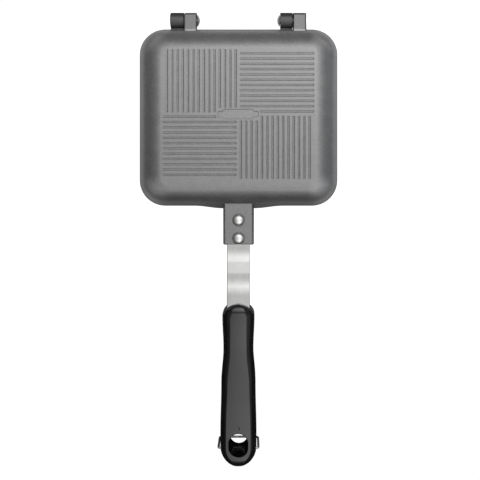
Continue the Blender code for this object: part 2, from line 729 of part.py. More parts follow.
def main():
    """Model the pieces that both halves share, place them twice with a grip each, and add the bail."""
    clear_scene()
    pan = pan_mesh()
    pin = hinge_pin_mesh()
    rivet = rivet_mesh()
    strap = strap_mesh()
    hinge = (0, HINGE_Y - MIDDLE_Y, PAN_DEPTH)
    back = (0, -HINGE_Y, 0)
    for half, turn, taper in (("lower", math.pi, RELIEF_TAPER), ("upper", 0.0, TAIL_TAPER)):
        empty = pivot_empty(f"{half}_half", hinge, turn)
        place_piece(f"{half}_pan", pan, CAST_GREY, empty, back)
        place_piece(f"{half}_hinge_pin", pin, RIVET_METAL, empty, back)
        place_piece(f"{half}_strap", strap, ALUMINIUM, empty, back)
        place_piece(f"{half}_grip", grip_mesh(taper), PHENOLIC, empty, back)
        for end, place in zip(("front", "rear"), rivet_places()):
            place_piece(f"{half}_{end}_rivet", rivet, RIVET_METAL, empty, (0, place - HINGE_Y, 0))
    bail_pivot = pivot_empty("bail_pivot", (0, PIVOT_Y - MIDDLE_Y, PAN_DEPTH + PIVOT_HEIGHT))
    place_piece("latch_bail", bail_mesh(), STEEL_WIRE, bail_pivot, (0, -PIVOT_Y, -PIVOT_HEIGHT))


main()
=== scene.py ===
"""Dressed model of a camping toaster on a pale studio floor.

Two equal cast pans are hinged together, and each carries a bent aluminium strap with a moulded black grip.
A wire bail in the upper grip latches round the lower one. Every piece is worked out in the frame of one
half: x to the right, y towards the hinge, and z up from the parting plane to that half's outer floor.
`Half.place` then moves the points to the lower or the upper half.
"""

import json
import logging
import math
from collections.abc import Sequence
from dataclasses import dataclass, field
from enum import Enum

import bmesh
import bpy
import numpy as np
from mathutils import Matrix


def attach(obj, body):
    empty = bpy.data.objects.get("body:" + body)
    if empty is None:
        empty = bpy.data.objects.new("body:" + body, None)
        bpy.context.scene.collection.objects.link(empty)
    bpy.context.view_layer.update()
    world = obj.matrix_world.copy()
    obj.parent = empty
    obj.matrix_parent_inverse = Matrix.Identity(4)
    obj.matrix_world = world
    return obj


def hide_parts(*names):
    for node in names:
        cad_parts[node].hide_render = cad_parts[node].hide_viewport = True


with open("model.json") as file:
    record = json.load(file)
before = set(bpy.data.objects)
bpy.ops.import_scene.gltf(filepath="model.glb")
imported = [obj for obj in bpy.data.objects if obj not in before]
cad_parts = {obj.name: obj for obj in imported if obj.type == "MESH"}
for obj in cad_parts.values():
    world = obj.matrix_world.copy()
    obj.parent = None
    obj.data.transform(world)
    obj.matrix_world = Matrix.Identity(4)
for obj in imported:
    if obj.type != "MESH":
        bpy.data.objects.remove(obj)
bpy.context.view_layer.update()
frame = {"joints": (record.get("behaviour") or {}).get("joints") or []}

LOG = logging.getLogger("toaster")
MM = 0.001
MERGE = 1e-7


@dataclass(frozen=True)
class Layout:
    """Sizes that several pieces share, and the places that follow from them, in the half's frame."""

    gap: float = 0.3 * MM
    pan_width: float = 167.1 * MM
    pan_length: float = 150.0 * MM
    pan_depth: float = 21.0 * MM
    boss_length: float = 32.2 * MM
    boss_height: float = 9.5 * MM
    socket_depth: float = 30.0 * MM
    strap_width: float = 19.0 * MM
    strap_thickness: float = 3.0 * MM
    strap_shown: float = 48.5 * MM
    grip_length: float = 135.0 * MM
    barrel_radius: float = 6.5 * MM
    pin_radius: float = 2.5 * MM
    inner_lug_width: float = 10.4 * MM
    outer_lug_width: float = 11.5 * MM
    lug_start: float = 35.1 * MM
    rivet_spacing: float = 15.2 * MM
    rivet_from_end: float = 5.6 * MM
    rivet_shank: float = 2.1 * MM
    rivet_foot: float = 3.3 * MM
    rivet_foot_height: float = 1.1 * MM
    spot_face: float = 5.3 * MM
    spot_depth: float = 0.6 * MM
    wire_radius: float = 0.95 * MM
    wire_turn_in: float = 5.0 * MM
    pivot_from_tail: float = 15.2 * MM
    pivot_height: float = 8.8 * MM
    palm_half: float = 15.05 * MM
    palm_top: float = 18.0 * MM

    @property
    def rim(self) -> float:
        """Height of the parting face over the parting plane."""
        return self.gap / 2

    @property
    def hinge_y(self) -> float:
        """Place of the hinge pin's axis."""
        return self.pan_length / 2 + self.barrel_radius + self.gap

    @property
    def boss_end(self) -> float:
        """Place of the boss's end face."""
        return -self.pan_length / 2 - self.boss_length

    @property
    def boss_strap_z(self) -> float:
        """Height of the strap's middle inside the boss."""
        return (self.rim + self.boss_height) / 2

    @property
    def grip_start(self) -> float:
        """Place of the grip's nose."""
        return self.boss_end - self.strap_shown

    @property
    def grip_end(self) -> float:
        """Place of the grip's tail."""
        return self.grip_start - self.grip_length

    @property
    def pivot_y(self) -> float:
        """Place of the bail's pivot."""
        return self.grip_end + self.pivot_from_tail

    @property
    def rivets(self) -> tuple[float, float]:
        """Places of the rivet nearer the grip and of the other one."""
        front = self.boss_end + self.rivet_from_end
        return front, front + self.rivet_spacing

    def lug_span(self, outer: bool) -> tuple[float, float]:
        """Near and far faces of a lug.

        Args:
            outer: whether it is the outer lug of its pan.

        Returns:
            Distances from the middle of the near and the far face.
        """
        if not outer:
            return self.lug_start, self.lug_start + self.inner_lug_width
        start = self.lug_start + self.inner_lug_width + self.gap
        return start, start + self.outer_lug_width


LAYOUT = Layout()


def hinge_place() -> np.ndarray:
    """The pan hinge's place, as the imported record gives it."""
    joint = next(item for item in frame["joints"] if item["name"] == "pan_hinge")
    return np.array(joint["pos_m"], float)


class Half(Enum):
    """The two equal halves of the toaster."""

    LOWER = "lower"
    UPPER = "upper"

    @property
    def body(self) -> str:
        """Name of the CAD body that the half's pieces ride on."""
        return f"{self.value}_half"

    @property
    def turn(self) -> float:
        """1 for the upper half, whose height runs upwards, and -1 for the lower half."""
        return 1.0 if self is Half.UPPER else -1.0

    def place(self, points: np.ndarray) -> np.ndarray:
        """Move points of the half's frame to their place on the toaster.

        The upper half is only shifted. The lower one is first turned half a turn about its y axis.

        Args:
            points: array whose last axis is x, y, z.

        Returns:
            The moved points.
        """
        origin = hinge_place() - (0.0, LAYOUT.hinge_y, 0.0)
        return points * (self.turn, 1.0, self.turn) + origin


class Shell:
    """Grids of points, gathered into one closed mesh."""

    def __init__(self) -> None:
        """Start with no points."""
        self.points: list[np.ndarray] = []
        self.faces: list[np.ndarray] = []
        self.count = 0

    def tube(self, rings: np.ndarray) -> "Shell":
        """Skin rings of equally many points, and close both ends with a face.

        Args:
            rings: points by level, place round the ring, and axis.

        Returns:
            The shell itself.
        """
        levels, around = rings.shape[:2]
        here = self.count + np.arange(levels * around).reshape(levels, around)
        there = np.roll(here, -1, axis=1)
        quads = np.stack((here[:-1], there[:-1], there[1:], here[1:]), axis=-1)
        self.points.append(rings.reshape(-1, 3))
        self.faces += [quads.reshape(-1, 4), here[:1, ::-1], here[-1:]]
        self.count += levels * around
        return self

    def mesh(self, name: str) -> bpy.types.Mesh:
        """Make the mesh, with coincident points merged and the faces turned outwards.

        Args:
            name: the mesh's name.

        Returns:
            The new mesh.
        """
        points = np.concatenate(self.points).astype(np.float32)
        totals = np.concatenate([np.full(len(rows), rows.shape[1]) for rows in self.faces])
        corners = np.concatenate([rows.ravel() for rows in self.faces]).astype(np.int32)
        made = bpy.data.meshes.new(name)
        made.vertices.add(len(points))
        made.vertices.foreach_set("co", points.ravel())
        made.loops.add(len(corners))
        made.loops.foreach_set("vertex_index", corners)
        made.polygons.add(len(totals))
        made.polygons.foreach_set("loop_start", (np.cumsum(totals) - totals).astype(np.int32))
        made.update(calc_edges=True)
        tidy = bmesh.new()
        tidy.from_mesh(made)
        bmesh.ops.remove_doubles(tidy, verts=tidy.verts, dist=MERGE)
        bmesh.ops.dissolve_degenerate(tidy, edges=tidy.edges, dist=MERGE)
        bmesh.ops.recalc_face_normals(tidy, faces=tidy.faces)
        tidy.to_mesh(made)
        tidy.free()
        return made


def carved(
    name: str,
    base: bpy.types.Mesh,
    joins: Sequence[bpy.types.Mesh] = (),
    cuts: Sequence[bpy.types.Mesh] = (),
) -> bpy.types.Mesh:
    """Unite meshes with a base and take others out of it.

    Args:
        name: name of the result.
        base: the closed mesh to start from.
        joins: closed meshes that are added.
        cuts: closed meshes that are taken away.

    Returns:
        The finished mesh.
    """
    collection = bpy.context.scene.collection
    block = bpy.data.objects.new(name, base)
    collection.objects.link(block)
    tools = []
    for mesh, operation in [(mesh, "UNION") for mesh in joins] + [(mesh, "DIFFERENCE") for mesh in cuts]:
        tool = bpy.data.objects.new(mesh.name, mesh)
        collection.objects.link(tool)
        step = block.modifiers.new(mesh.name, "BOOLEAN")
        step.operation = operation
        step.solver = "MANIFOLD"
        step.object = tool
        tools.append(tool)
    bpy.context.view_layer.update()
    result = bpy.data.meshes.new_from_object(block.evaluated_get(bpy.context.evaluated_depsgraph_get()))
    result.name = name
    for thing in [block, *tools]:
        mesh = thing.data
        bpy.data.objects.remove(thing, do_unlink=True)
        bpy.data.meshes.remove(mesh)
    return result


def arc(centre: tuple[float, float], radius: float, start: float, stop: float, steps: int) -> np.ndarray:
    """Points on a circle: centre plus radius times (cosine, sine) of evenly spaced angles.

    Args:
        centre: the circle's centre.
        radius: its radius.
        start: first angle in radians.
        stop: last angle in radians.
        steps: number of steps between them.

    Returns:
        steps + 1 points of two coordinates.
    """
    angles = np.linspace(start, stop, steps + 1)
    return np.column_stack((centre[0] + radius * np.cos(angles), centre[1] + radius * np.sin(angles)))


def turned(profile: np.ndarray, sides: int, centre: tuple[float, float, float], axis: str = "z") -> np.ndarray:
    """Rings of a profile turned about an axis: (radius cos, radius sin) across it and the height along it.

    Args:
        profile: rows of radius and height.
        sides: points in each ring.
        centre: where height zero lies on the axis.
        axis: "z" or "x".

    Returns:
        Points by level, place round the ring, and axis.
    """
    angles = np.linspace(0, 2 * math.pi, sides, endpoint=False)
    one = profile[:, :1] * np.cos(angles)
    two = profile[:, :1] * np.sin(angles)
    along = np.broadcast_to(profile[:, 1:], one.shape)
    parts = (one, two, along) if axis == "z" else (along, one, two)
    return np.stack(parts, axis=-1) + np.array(centre)


def extruded(outline: np.ndarray, levels: np.ndarray, axis: str = "z") -> np.ndarray:
    """Rings of one outline at several levels.

    Args:
        outline: rows of x, y, or of y, z when the axis is x.
        levels: places along the axis.
        axis: "z" or "x".

    Returns:
        Points by level, place round the ring, and axis.
    """
    flat = np.broadcast_to(outline, (len(levels), *outline.shape))
    along = np.broadcast_to(np.asarray(levels)[:, None, None], (*flat.shape[:2], 1))
    parts = (flat, along) if axis == "z" else (along, flat)
    return np.concatenate(parts, axis=-1)


def inset_outline(outline: np.ndarray, distance: np.ndarray) -> np.ndarray:
    """Outlines moved inwards: each corner moves along its mitre by distance over the cosine of half its turn.

    Args:
        outline: rows of two coordinates, anticlockwise.
        distance: one inward distance for each level.

    Returns:
        Points by level, place round the outline, and coordinate.
    """
    ahead = np.roll(outline, -1, axis=0) - outline
    ahead = ahead / np.linalg.norm(ahead, axis=1, keepdims=True)
    normal = np.column_stack((-ahead[:, 1], ahead[:, 0]))
    before = np.roll(normal, 1, axis=0)
    mitre = (normal + before) / (1 + (normal * before).sum(axis=1, keepdims=True))
    return outline + np.asarray(distance)[:, None, None] * mitre


@dataclass(frozen=True)
class RoundPlan:
    """Plan of a rectangle with round corners, which may be inset ring by ring."""

    half_x: float
    half_y: float
    corner: float
    steps: int = 16
    side_steps: int = 1
    least: float = 0.05 * MM
    ease: float = 1.0

    def ring(self, inset: np.ndarray) -> np.ndarray:
        """Rings of the plan: a corner's centre plus the corner radius times a direction.

        Args:
            inset: one inward distance for each level; a corner's radius shrinks by the ease times as much.

        Returns:
            Points by level, place round the ring, and x or y.
        """
        inset = np.asarray(inset, float)[:, None]
        radius = np.maximum(self.corner - self.ease * inset, self.least)
        signs = np.array(((1, 1), (-1, 1), (-1, -1), (1, -1)), float)
        share = np.linspace(0, 1, self.side_steps + 1)[1:-1]
        angles, centres = [], []
        for quarter in range(4):
            angles += [quarter * math.pi / 2 + np.linspace(0, math.pi / 2, self.steps + 1)]
            angles += [np.full(len(share), (quarter + 1) * math.pi / 2)]
            here, there = signs[quarter], signs[(quarter + 1) % 4]
            centres += [np.tile(here, (self.steps + 1, 1)), here + share[:, None] * (there - here)]
        angle = np.concatenate(angles)
        centre = np.concatenate(centres)
        x = (self.half_x - inset - radius) * centre[:, 0] + radius * np.cos(angle)
        y = (self.half_y - inset - radius) * centre[:, 1] + radius * np.sin(angle)
        return np.stack((x, y), axis=-1)


def smooth(share: np.ndarray) -> np.ndarray:
    """Three shares squared less two shares cubed, level at both ends."""
    share = np.clip(share, 0, 1)
    return share * share * (3 - 2 * share)


def eased(stations: Sequence[tuple[float, float]], place: np.ndarray) -> np.ndarray:
    """Values along a piece: half a cosine wave from each (place, value) station to the next.

    Args:
        stations: rows of place and value.
        place: where the values are wanted.

    Returns:
        One value for each place.
    """
    places, values = (np.array(column) for column in zip(*stations))
    index = np.clip(np.searchsorted(places, place) - 1, 0, len(places) - 2)
    share = np.clip((place - places[index]) / (places[index + 1] - places[index]), 0, 1)
    return values[index] + (values[index + 1] - values[index]) * (1 - np.cos(math.pi * share)) / 2


def round_end(distance: np.ndarray, length: float, power: float = 2.0, root: float = 0.5) -> np.ndarray:
    """Share of full size near a round end: (1 - (1 - distance / length) ** power) ** root.

    Args:
        distance: distance from the end.
        length: distance over which the end reaches its full size.
        power: inner power; 2 with a root of a half is an ellipse's quarter.
        root: outer power.

    Returns:
        Shares between nothing and one.
    """
    left = np.clip(1 - np.asarray(distance, float) / length, 0, 1)
    return (1 - left**power) ** root


class Value:
    """A number that varies over a surface, with operators that add Math nodes."""

    def __init__(self, graph: "Graph", socket: bpy.types.NodeSocket) -> None:
        """Wrap the socket of a graph."""
        self.graph = graph
        self.socket = socket

    def math(self, operation: str, *values: "Value | float") -> "Value":
        """Result of a Math node with this value first.

        Args:
            operation: the node's operation.
            values: its other inputs.

        Returns:
            The result.
        """
        return self.graph.math(operation, self, *values)

    def __add__(self, other: "Value | float") -> "Value":
        """Sum."""
        return self.math("ADD", other)

    def __radd__(self, other: float) -> "Value":
        """Sum with a number first."""
        return self.math("ADD", other)

    def __sub__(self, other: "Value | float") -> "Value":
        """Difference."""
        return self.math("SUBTRACT", other)

    def __rsub__(self, other: float) -> "Value":
        """A number less this value."""
        return self.graph.math("SUBTRACT", other, self)

    def __mul__(self, other: "Value | float") -> "Value":
        """Product."""
        return self.math("MULTIPLY", other)

    def __rmul__(self, other: float) -> "Value":
        """Product with a number first."""
        return self.math("MULTIPLY", other)

    def __truediv__(self, other: "Value | float") -> "Value":
        """Quotient."""
        return self.math("DIVIDE", other)

    def __pow__(self, other: float) -> "Value":
        """Power."""
        return self.math("POWER", other)

    def ramp(self, low: float, high: float) -> "Value":
        """Nothing below low, one above high, and a smooth step between.

        Args:
            low: where the step starts.
            high: where it ends.

        Returns:
            The step.
        """
        node = self.graph.node(
            "ShaderNodeMapRange",
            {"interpolation_type": "SMOOTHSTEP"},
            {"Value": self, "From Min": low, "From Max": high},
        )
        return Value(self.graph, node.outputs["Result"])


class Graph:
    """Shader nodes, put together in one tree."""

    def __init__(self, tree: bpy.types.NodeTree) -> None:
        """Start with an empty tree."""
        self.tree = tree
        self.tree.nodes.clear()

    def node(self, kind: str, settings: dict | None = None, sockets: dict | None = None) -> bpy.types.Node:
        """Add a node.

        Args:
            kind: the node's type.
            settings: its own settings, which are set first; "stops" gives a ramp's places and levels.
            sockets: values, links or Values for its inputs, by name or number.

        Returns:
            The new node.
        """
        made = self.tree.nodes.new(kind)
        for key, setting in (settings or {}).items():
            if key == "stops":
                elements = made.color_ramp.elements
                for place, _ in setting[2:]:
                    elements.new(place)
                for element, (place, level) in zip(elements, setting):
                    element.position = place
                    element.color = (level, level, level, 1.0)
            else:
                setattr(made, key, setting)
        for key, value in (sockets or {}).items():
            self.feed(made.inputs[key], value)
        return made

    def feed(self, socket: bpy.types.NodeSocket, value: object) -> None:
        """Link a Value or a socket to an input, or set the input to a number or a colour."""
        source = value.socket if isinstance(value, Value) else value
        if isinstance(source, bpy.types.NodeSocket):
            self.tree.links.new(source, socket)
        else:
            socket.default_value = source

    def math(self, operation: str, *values: Value | float) -> Value:
        """Result of a Math node.

        Args:
            operation: the node's operation.
            values: its inputs in order.

        Returns:
            The result.
        """
        made = self.node("ShaderNodeMath", {"operation": operation}, dict(enumerate(values)))
        return Value(self, made.outputs["Value"])

    def blend(self, share: Value, one: object, other: object) -> bpy.types.NodeSocket:
        """Colour between two colours.

        Args:
            share: nothing for the first colour and one for the other.
            one: the first colour, or the socket that gives it.
            other: the second colour, or the socket that gives it.

        Returns:
            The colour's socket.
        """
        one = (*one, 1.0) if isinstance(one, tuple) else one
        other = (*other, 1.0) if isinstance(other, tuple) else other
        made = self.node("ShaderNodeMix", {"data_type": "RGBA"}, {0: share, 6: one, 7: other})
        return made.outputs[2]


class Surface(Graph):
    """The nodes of a material: a Principled shader that is fed from Object coordinates."""

    def __init__(self, name: str) -> None:
        """Start a material with a Principled shader and an output."""
        self.material = bpy.data.materials.new(name)
        self.material.use_nodes = True
        super().__init__(self.material.node_tree)
        self.shader = self.node("ShaderNodeBsdfPrincipled")
        self.node("ShaderNodeOutputMaterial", sockets={"Surface": self.shader.outputs["BSDF"]})
        self.place = self.node("ShaderNodeTexCoord").outputs["Object"]

    def noise(
        self, size: float, detail: float = 2.0, stretch: tuple[float, float, float] = (1, 1, 1), shift: float = 0.0
    ) -> Value:
        """Noise between nothing and one on Object coordinates.

        Args:
            size: size of its features in metres.
            detail: number of finer layers.
            stretch: how many times longer the features are along each axis.
            shift: how far the pattern is moved, in metres.

        Returns:
            The noise.
        """
        scale = tuple(1.0 / (size * times) for times in stretch)
        mapping = self.node(
            "ShaderNodeMapping", {}, {"Vector": self.place, "Scale": scale, "Location": (shift / size,) * 3}
        )
        noise = self.node(
            "ShaderNodeTexNoise", {}, {"Vector": mapping.outputs["Vector"], "Scale": 1.0, "Detail": detail}
        )
        return Value(self, noise.outputs["Factor"] if "Factor" in noise.outputs else noise.outputs[0])

    def bump(self, height: Value, depth: float, below: bpy.types.NodeSocket | None = None) -> bpy.types.NodeSocket:
        """Normal of a surface whose height varies.

        Args:
            height: the height, between nothing and one.
            depth: how deep its full range is, in metres.
            below: the normal of a coarser layer.

        Returns:
            The normal's socket.
        """
        sockets = {"Height": height, "Distance": depth, "Strength": 1.0}
        if below is not None:
            sockets["Normal"] = below
        return self.node("ShaderNodeBump", {}, sockets).outputs["Normal"]


@dataclass(frozen=True)
class CastCoating:
    """Satin grey non-stick coating on a die casting: mottled, finely speckled and faintly grainy.

    It has painted light and shade over its colour: paler along the rim and on the floor than between them,
    darkest on the hinge barrels, lighter towards the hinge side and in the corners. The levels give rows of height
    over the parting plane and painted light level; those of the front hold for the wall at the handle, the boss and
    the lugs.
    """

    dark: tuple[float, float, float] = (0.275, 0.276, 0.280)
    light: tuple[float, float, float] = (0.350, 0.350, 0.353)
    fleck: tuple[float, float, float] = (0.41, 0.41, 0.415)
    # Painted light and shade by height over the parting plane: paler rim and floor, darker wall between
    levels: tuple[tuple[float, float], ...] = (
        (-8.0 * MM, 1.92), (11.0 * MM, 1.95), (13.0 * MM, 1.88), (14.6 * MM, 1.68), (16.3 * MM, 1.42),
        (18.0 * MM, 1.15), (19.5 * MM, 1.06), (20.4 * MM, 1.09), (20.85 * MM, 1.2), (21.0 * MM, 1.34), (22.0 * MM, 1.34))
    # Painted light and shade by height near the handle and the hinge: darkest on the hinge barrels, lighter on the
    # boss top
    front_painted_light: tuple[tuple[float, float], ...] = (
        (-8.0 * MM, 0.43), (-0.2 * MM, 0.43), (0.4 * MM, 0.84), (8.6 * MM, 0.85), (9.4 * MM, 1.08), (12.0 * MM, 0.95),
        (15.0 * MM, 1.07), (17.0 * MM, 1.27), (19.0 * MM, 1.46), (20.4 * MM, 1.38), (21.0 * MM, 1.2), (22.0 * MM, 1.2))
    # Where the painted light changes from the main levels to those of the front, towards the handle and the hinge
    front: tuple[float, float] = (-62.0 * MM, -48.0 * MM)
    back: tuple[float, float] = (71.0 * MM, 73.2 * MM)
    # Painted light that grows from the handle side towards the hinge side
    painted_fade: tuple[float, float] = (-60.0 * MM, 75.0 * MM)
    painted_fade_depth: float = 0.21
    # Painted light that brightens the corners of the wall
    corner_x: tuple[float, float] = (56.0 * MM, 74.0 * MM)
    corner_y: tuple[float, float] = (48.0 * MM, 66.0 * MM)
    painted_corner_light: float = 1.2
    # Brightest painted light level; the coating's tones are raised by it and the painted share scales them back
    painted_light_peak: float = 2.3
    # Painted light level that replaces the height levels on the flat floor
    floor_x: tuple[float, float] = (61.5 * MM, 63.5 * MM)
    floor_y: tuple[float, float] = (53.0 * MM, 55.0 * MM)
    painted_floor_light: float = 1.26
    roughness: float = 0.41
    metallic: float = 0.65
    mottle_size: float = 7.0 * MM
    speckle_size: float = 0.9 * MM
    grain_size: float = 0.45 * MM
    grain_depth: float = 0.012 * MM
    skin_size: float = 2.6 * MM
    skin_depth: float = 0.02 * MM

    def painted_light_share(self, graph: Surface, half: Half) -> Value:
        """Painted light and shade at the surface's place, as a share of the brightest painted level: it falls to the
        handle, grows towards the hinge side and grows to a corner.
        """
        split = graph.node("ShaderNodeSeparateXYZ", {}, {0: graph.place})
        _, hinge, plane = hinge_place()
        back = Value(graph, split.outputs["Y"]) - float(hinge - LAYOUT.hinge_y)
        height = (Value(graph, split.outputs["Z"]) - float(plane)) * half.turn
        painted_ramps = []
        for levels in (self.levels, self.front_painted_light):
            low, high = levels[0][0], levels[-1][0]
            stops = [((place - low) / (high - low), level / self.painted_light_peak) for place, level in levels]
            ramp = graph.node("ShaderNodeValToRGB", {"stops": stops}, {"Fac": (height - low) / (high - low)})
            painted_ramps.append(Value(graph, ramp.outputs["Color"]))
        share = back.ramp(*self.front) * (1.0 - back.ramp(*self.back))
        # Blend the main painted light levels with those of the front
        pale = painted_ramps[1] + (painted_ramps[0] - painted_ramps[1]) * share
        side, end = Value(graph, split.outputs["X"]).math("ABSOLUTE"), back.math("ABSOLUTE")
        floor = (1.0 - side.ramp(*self.floor_x)) * (1.0 - end.ramp(*self.floor_y))
        # The painted floor light level takes over on the flat floor
        pale = pale + (self.painted_floor_light / self.painted_light_peak - pale) * floor
        # Painted light grows towards the hinge side
        pale = pale * (back.ramp(*self.painted_fade) * self.painted_fade_depth + (1.10 - self.painted_fade_depth))
        # Painted light brightens the corners
        return pale * (side.ramp(*self.corner_x) * end.ramp(*self.corner_y) * self.painted_corner_light + 1.0)

    def material(self, name: str, half: Half) -> bpy.types.Material:
        """Make the finish.

        Args:
            name: the material's name.
            half: the half that it is on; the patterns of the two pans differ.

        Returns:
            The material.
        """
        graph = Surface(name)
        shift = 0.3 * half.turn
        tones = (self.dark, self.light, self.fleck)
        # Tones raised by the brightest painted light level, which the painted share below scales back
        dark, light, fleck = (tuple(self.painted_light_peak * part for part in tone) for tone in tones)
        mottle = graph.noise(self.mottle_size, 3.0, shift=shift)
        speckle = graph.noise(self.speckle_size, 2.0, shift=shift)
        grain = graph.noise(self.grain_size, 2.0, shift=shift)
        tone = (speckle * 0.7 + mottle * 0.3).ramp(0.36, 0.64)
        paint = graph.blend(speckle.ramp(0.66, 0.74) * 0.6, graph.blend(tone, dark, light), fleck)
        # The paint, darkened towards black by the painted light and shade
        shade = graph.blend(self.painted_light_share(graph, half), (0.0, 0.0, 0.0), paint)
        graph.feed(graph.shader.inputs["Base Color"], shade)
        graph.feed(graph.shader.inputs["Roughness"], self.roughness + (mottle - 0.5) * 0.16 + (grain - 0.5) * 0.1)
        graph.feed(graph.shader.inputs["Metallic"], self.metallic)
        skin = graph.bump(graph.noise(self.skin_size, 1.0, shift=shift), self.skin_depth)
        graph.feed(graph.shader.inputs["Normal"], graph.bump(grain, self.grain_depth, skin))
        return graph.material


@dataclass(frozen=True)
class RolledAluminium:
    """Rolled aluminium bar: bright, slightly warm, with long faint rolling streaks."""

    dark: tuple[float, float, float] = (0.51, 0.51, 0.50)
    light: tuple[float, float, float] = (0.56, 0.56, 0.55)
    roughness: float = 0.19
    metallic: float = 1.0
    streak_size: float = 0.5 * MM
    streak_run: float = 60.0
    streak_depth: float = 0.002 * MM
    cloud_size: float = 9.0 * MM

    def material(self, name: str, shift: float) -> bpy.types.Material:
        """Make the finish.

        Args:
            name: the material's name.
            shift: how far its patterns are moved.

        Returns:
            The material.
        """
        graph = Surface(name)
        streak = graph.noise(self.streak_size, 3.0, (1, self.streak_run, 1), shift)
        cloud = graph.noise(self.cloud_size, 2.0, shift=shift)
        colour = graph.blend((streak * 0.6 + cloud * 0.4).ramp(0.35, 0.65), self.dark, self.light)
        graph.feed(graph.shader.inputs["Base Color"], colour)
        graph.feed(graph.shader.inputs["Roughness"], self.roughness + (streak - 0.5) * 0.08 + (cloud - 0.5) * 0.05)
        graph.feed(graph.shader.inputs["Metallic"], self.metallic)
        graph.feed(graph.shader.inputs["Normal"], graph.bump(streak, self.streak_depth))
        return graph.material


@dataclass(frozen=True)
class PolishedMetal:
    """Tumbled bright metal with fine scuffs, for rivets, pins and wire."""

    dark: tuple[float, float, float] = (0.66, 0.66, 0.66)
    light: tuple[float, float, float] = (0.90, 0.90, 0.89)
    roughness: float = 0.16
    metallic: float = 1.0
    scuff_size: float = 0.6 * MM
    scuff_depth: float = 0.008 * MM
    cloud_size: float = 2.5 * MM

    def material(self, name: str, shift: float) -> bpy.types.Material:
        """Make the finish.

        Args:
            name: the material's name.
            shift: how far its patterns are moved.

        Returns:
            The material.
        """
        graph = Surface(name)
        scuff = graph.noise(self.scuff_size, 3.0, (1, 3, 1), shift)
        cloud = graph.noise(self.cloud_size, 2.0, shift=shift)
        colour = graph.blend((cloud * 0.5 + scuff * 0.5).ramp(0.3, 0.6), self.dark, self.light)
        graph.feed(graph.shader.inputs["Base Color"], colour)
        graph.feed(graph.shader.inputs["Roughness"], self.roughness + (scuff - 0.5) * 0.12)
        graph.feed(graph.shader.inputs["Metallic"], self.metallic)
        graph.feed(graph.shader.inputs["Normal"], graph.bump(scuff, self.scuff_depth))
        return graph.material


@dataclass(frozen=True)
class Phenolic:
    """Black compression-moulded phenolic: glossy satin, a faint warm cast and fine flow marks."""

    dark: tuple[float, float, float] = (0.004, 0.004, 0.004)
    light: tuple[float, float, float] = (0.012, 0.010, 0.009)
    roughness: float = 0.18
    specular: float = 1.0
    flow_size: float = 6.0 * MM
    peel_size: float = 1.4 * MM
    peel_depth: float = 0.012 * MM
    haze_size: float = 0.5 * MM

    def material(self, name: str, shift: float) -> bpy.types.Material:
        """Make the finish.

        Args:
            name: the material's name.
            shift: how far its patterns are moved.

        Returns:
            The material.
        """
        graph = Surface(name)
        flow = graph.noise(self.flow_size, 3.0, (1, 3, 1), shift)
        peel = graph.noise(self.peel_size, 2.0, shift=shift)
        haze = graph.noise(self.haze_size, 2.0, shift=shift)
        graph.feed(graph.shader.inputs["Base Color"], graph.blend(flow.ramp(0.35, 0.65), self.dark, self.light))
        graph.feed(graph.shader.inputs["Roughness"], self.roughness + (flow - 0.5) * 0.1 + (haze - 0.5) * 0.08)
        graph.feed(graph.shader.inputs["Specular IOR Level"], self.specular)
        graph.feed(graph.shader.inputs["Normal"], graph.bump(peel, self.peel_depth))
        return graph.material


def publish(
    name: str, mesh: bpy.types.Mesh, material: bpy.types.Material, body: str, sharp: float = 30.0
) -> bpy.types.Object:
    """Put a finished piece into the scene in place of its CAD node.

    Args:
        name: name of the piece, which is its CAD node's name with "_dressed" added.
        mesh: its mesh, already in place.
        material: its finish.
        body: the CAD body that it rides on.
        sharp: edges that turn by more than these degrees stay sharp.

    Returns:
        The piece.
    """
    mesh.name = f"{name}_dressed"
    mesh.materials.clear()
    mesh.materials.append(material)
    mesh.shade_smooth()
    mesh.set_sharp_from_angle(angle=math.radians(sharp))
    piece = bpy.data.objects.new(mesh.name, mesh)
    bpy.context.scene.collection.objects.link(piece)
    weighted = piece.modifiers.new("face weights", "WEIGHTED_NORMAL")
    weighted.keep_sharp = True
    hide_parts(name)
    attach(piece, body)
    LOG.info("%s: %d points, %d faces", piece.name, len(mesh.vertices), len(mesh.polygons))
    return piece


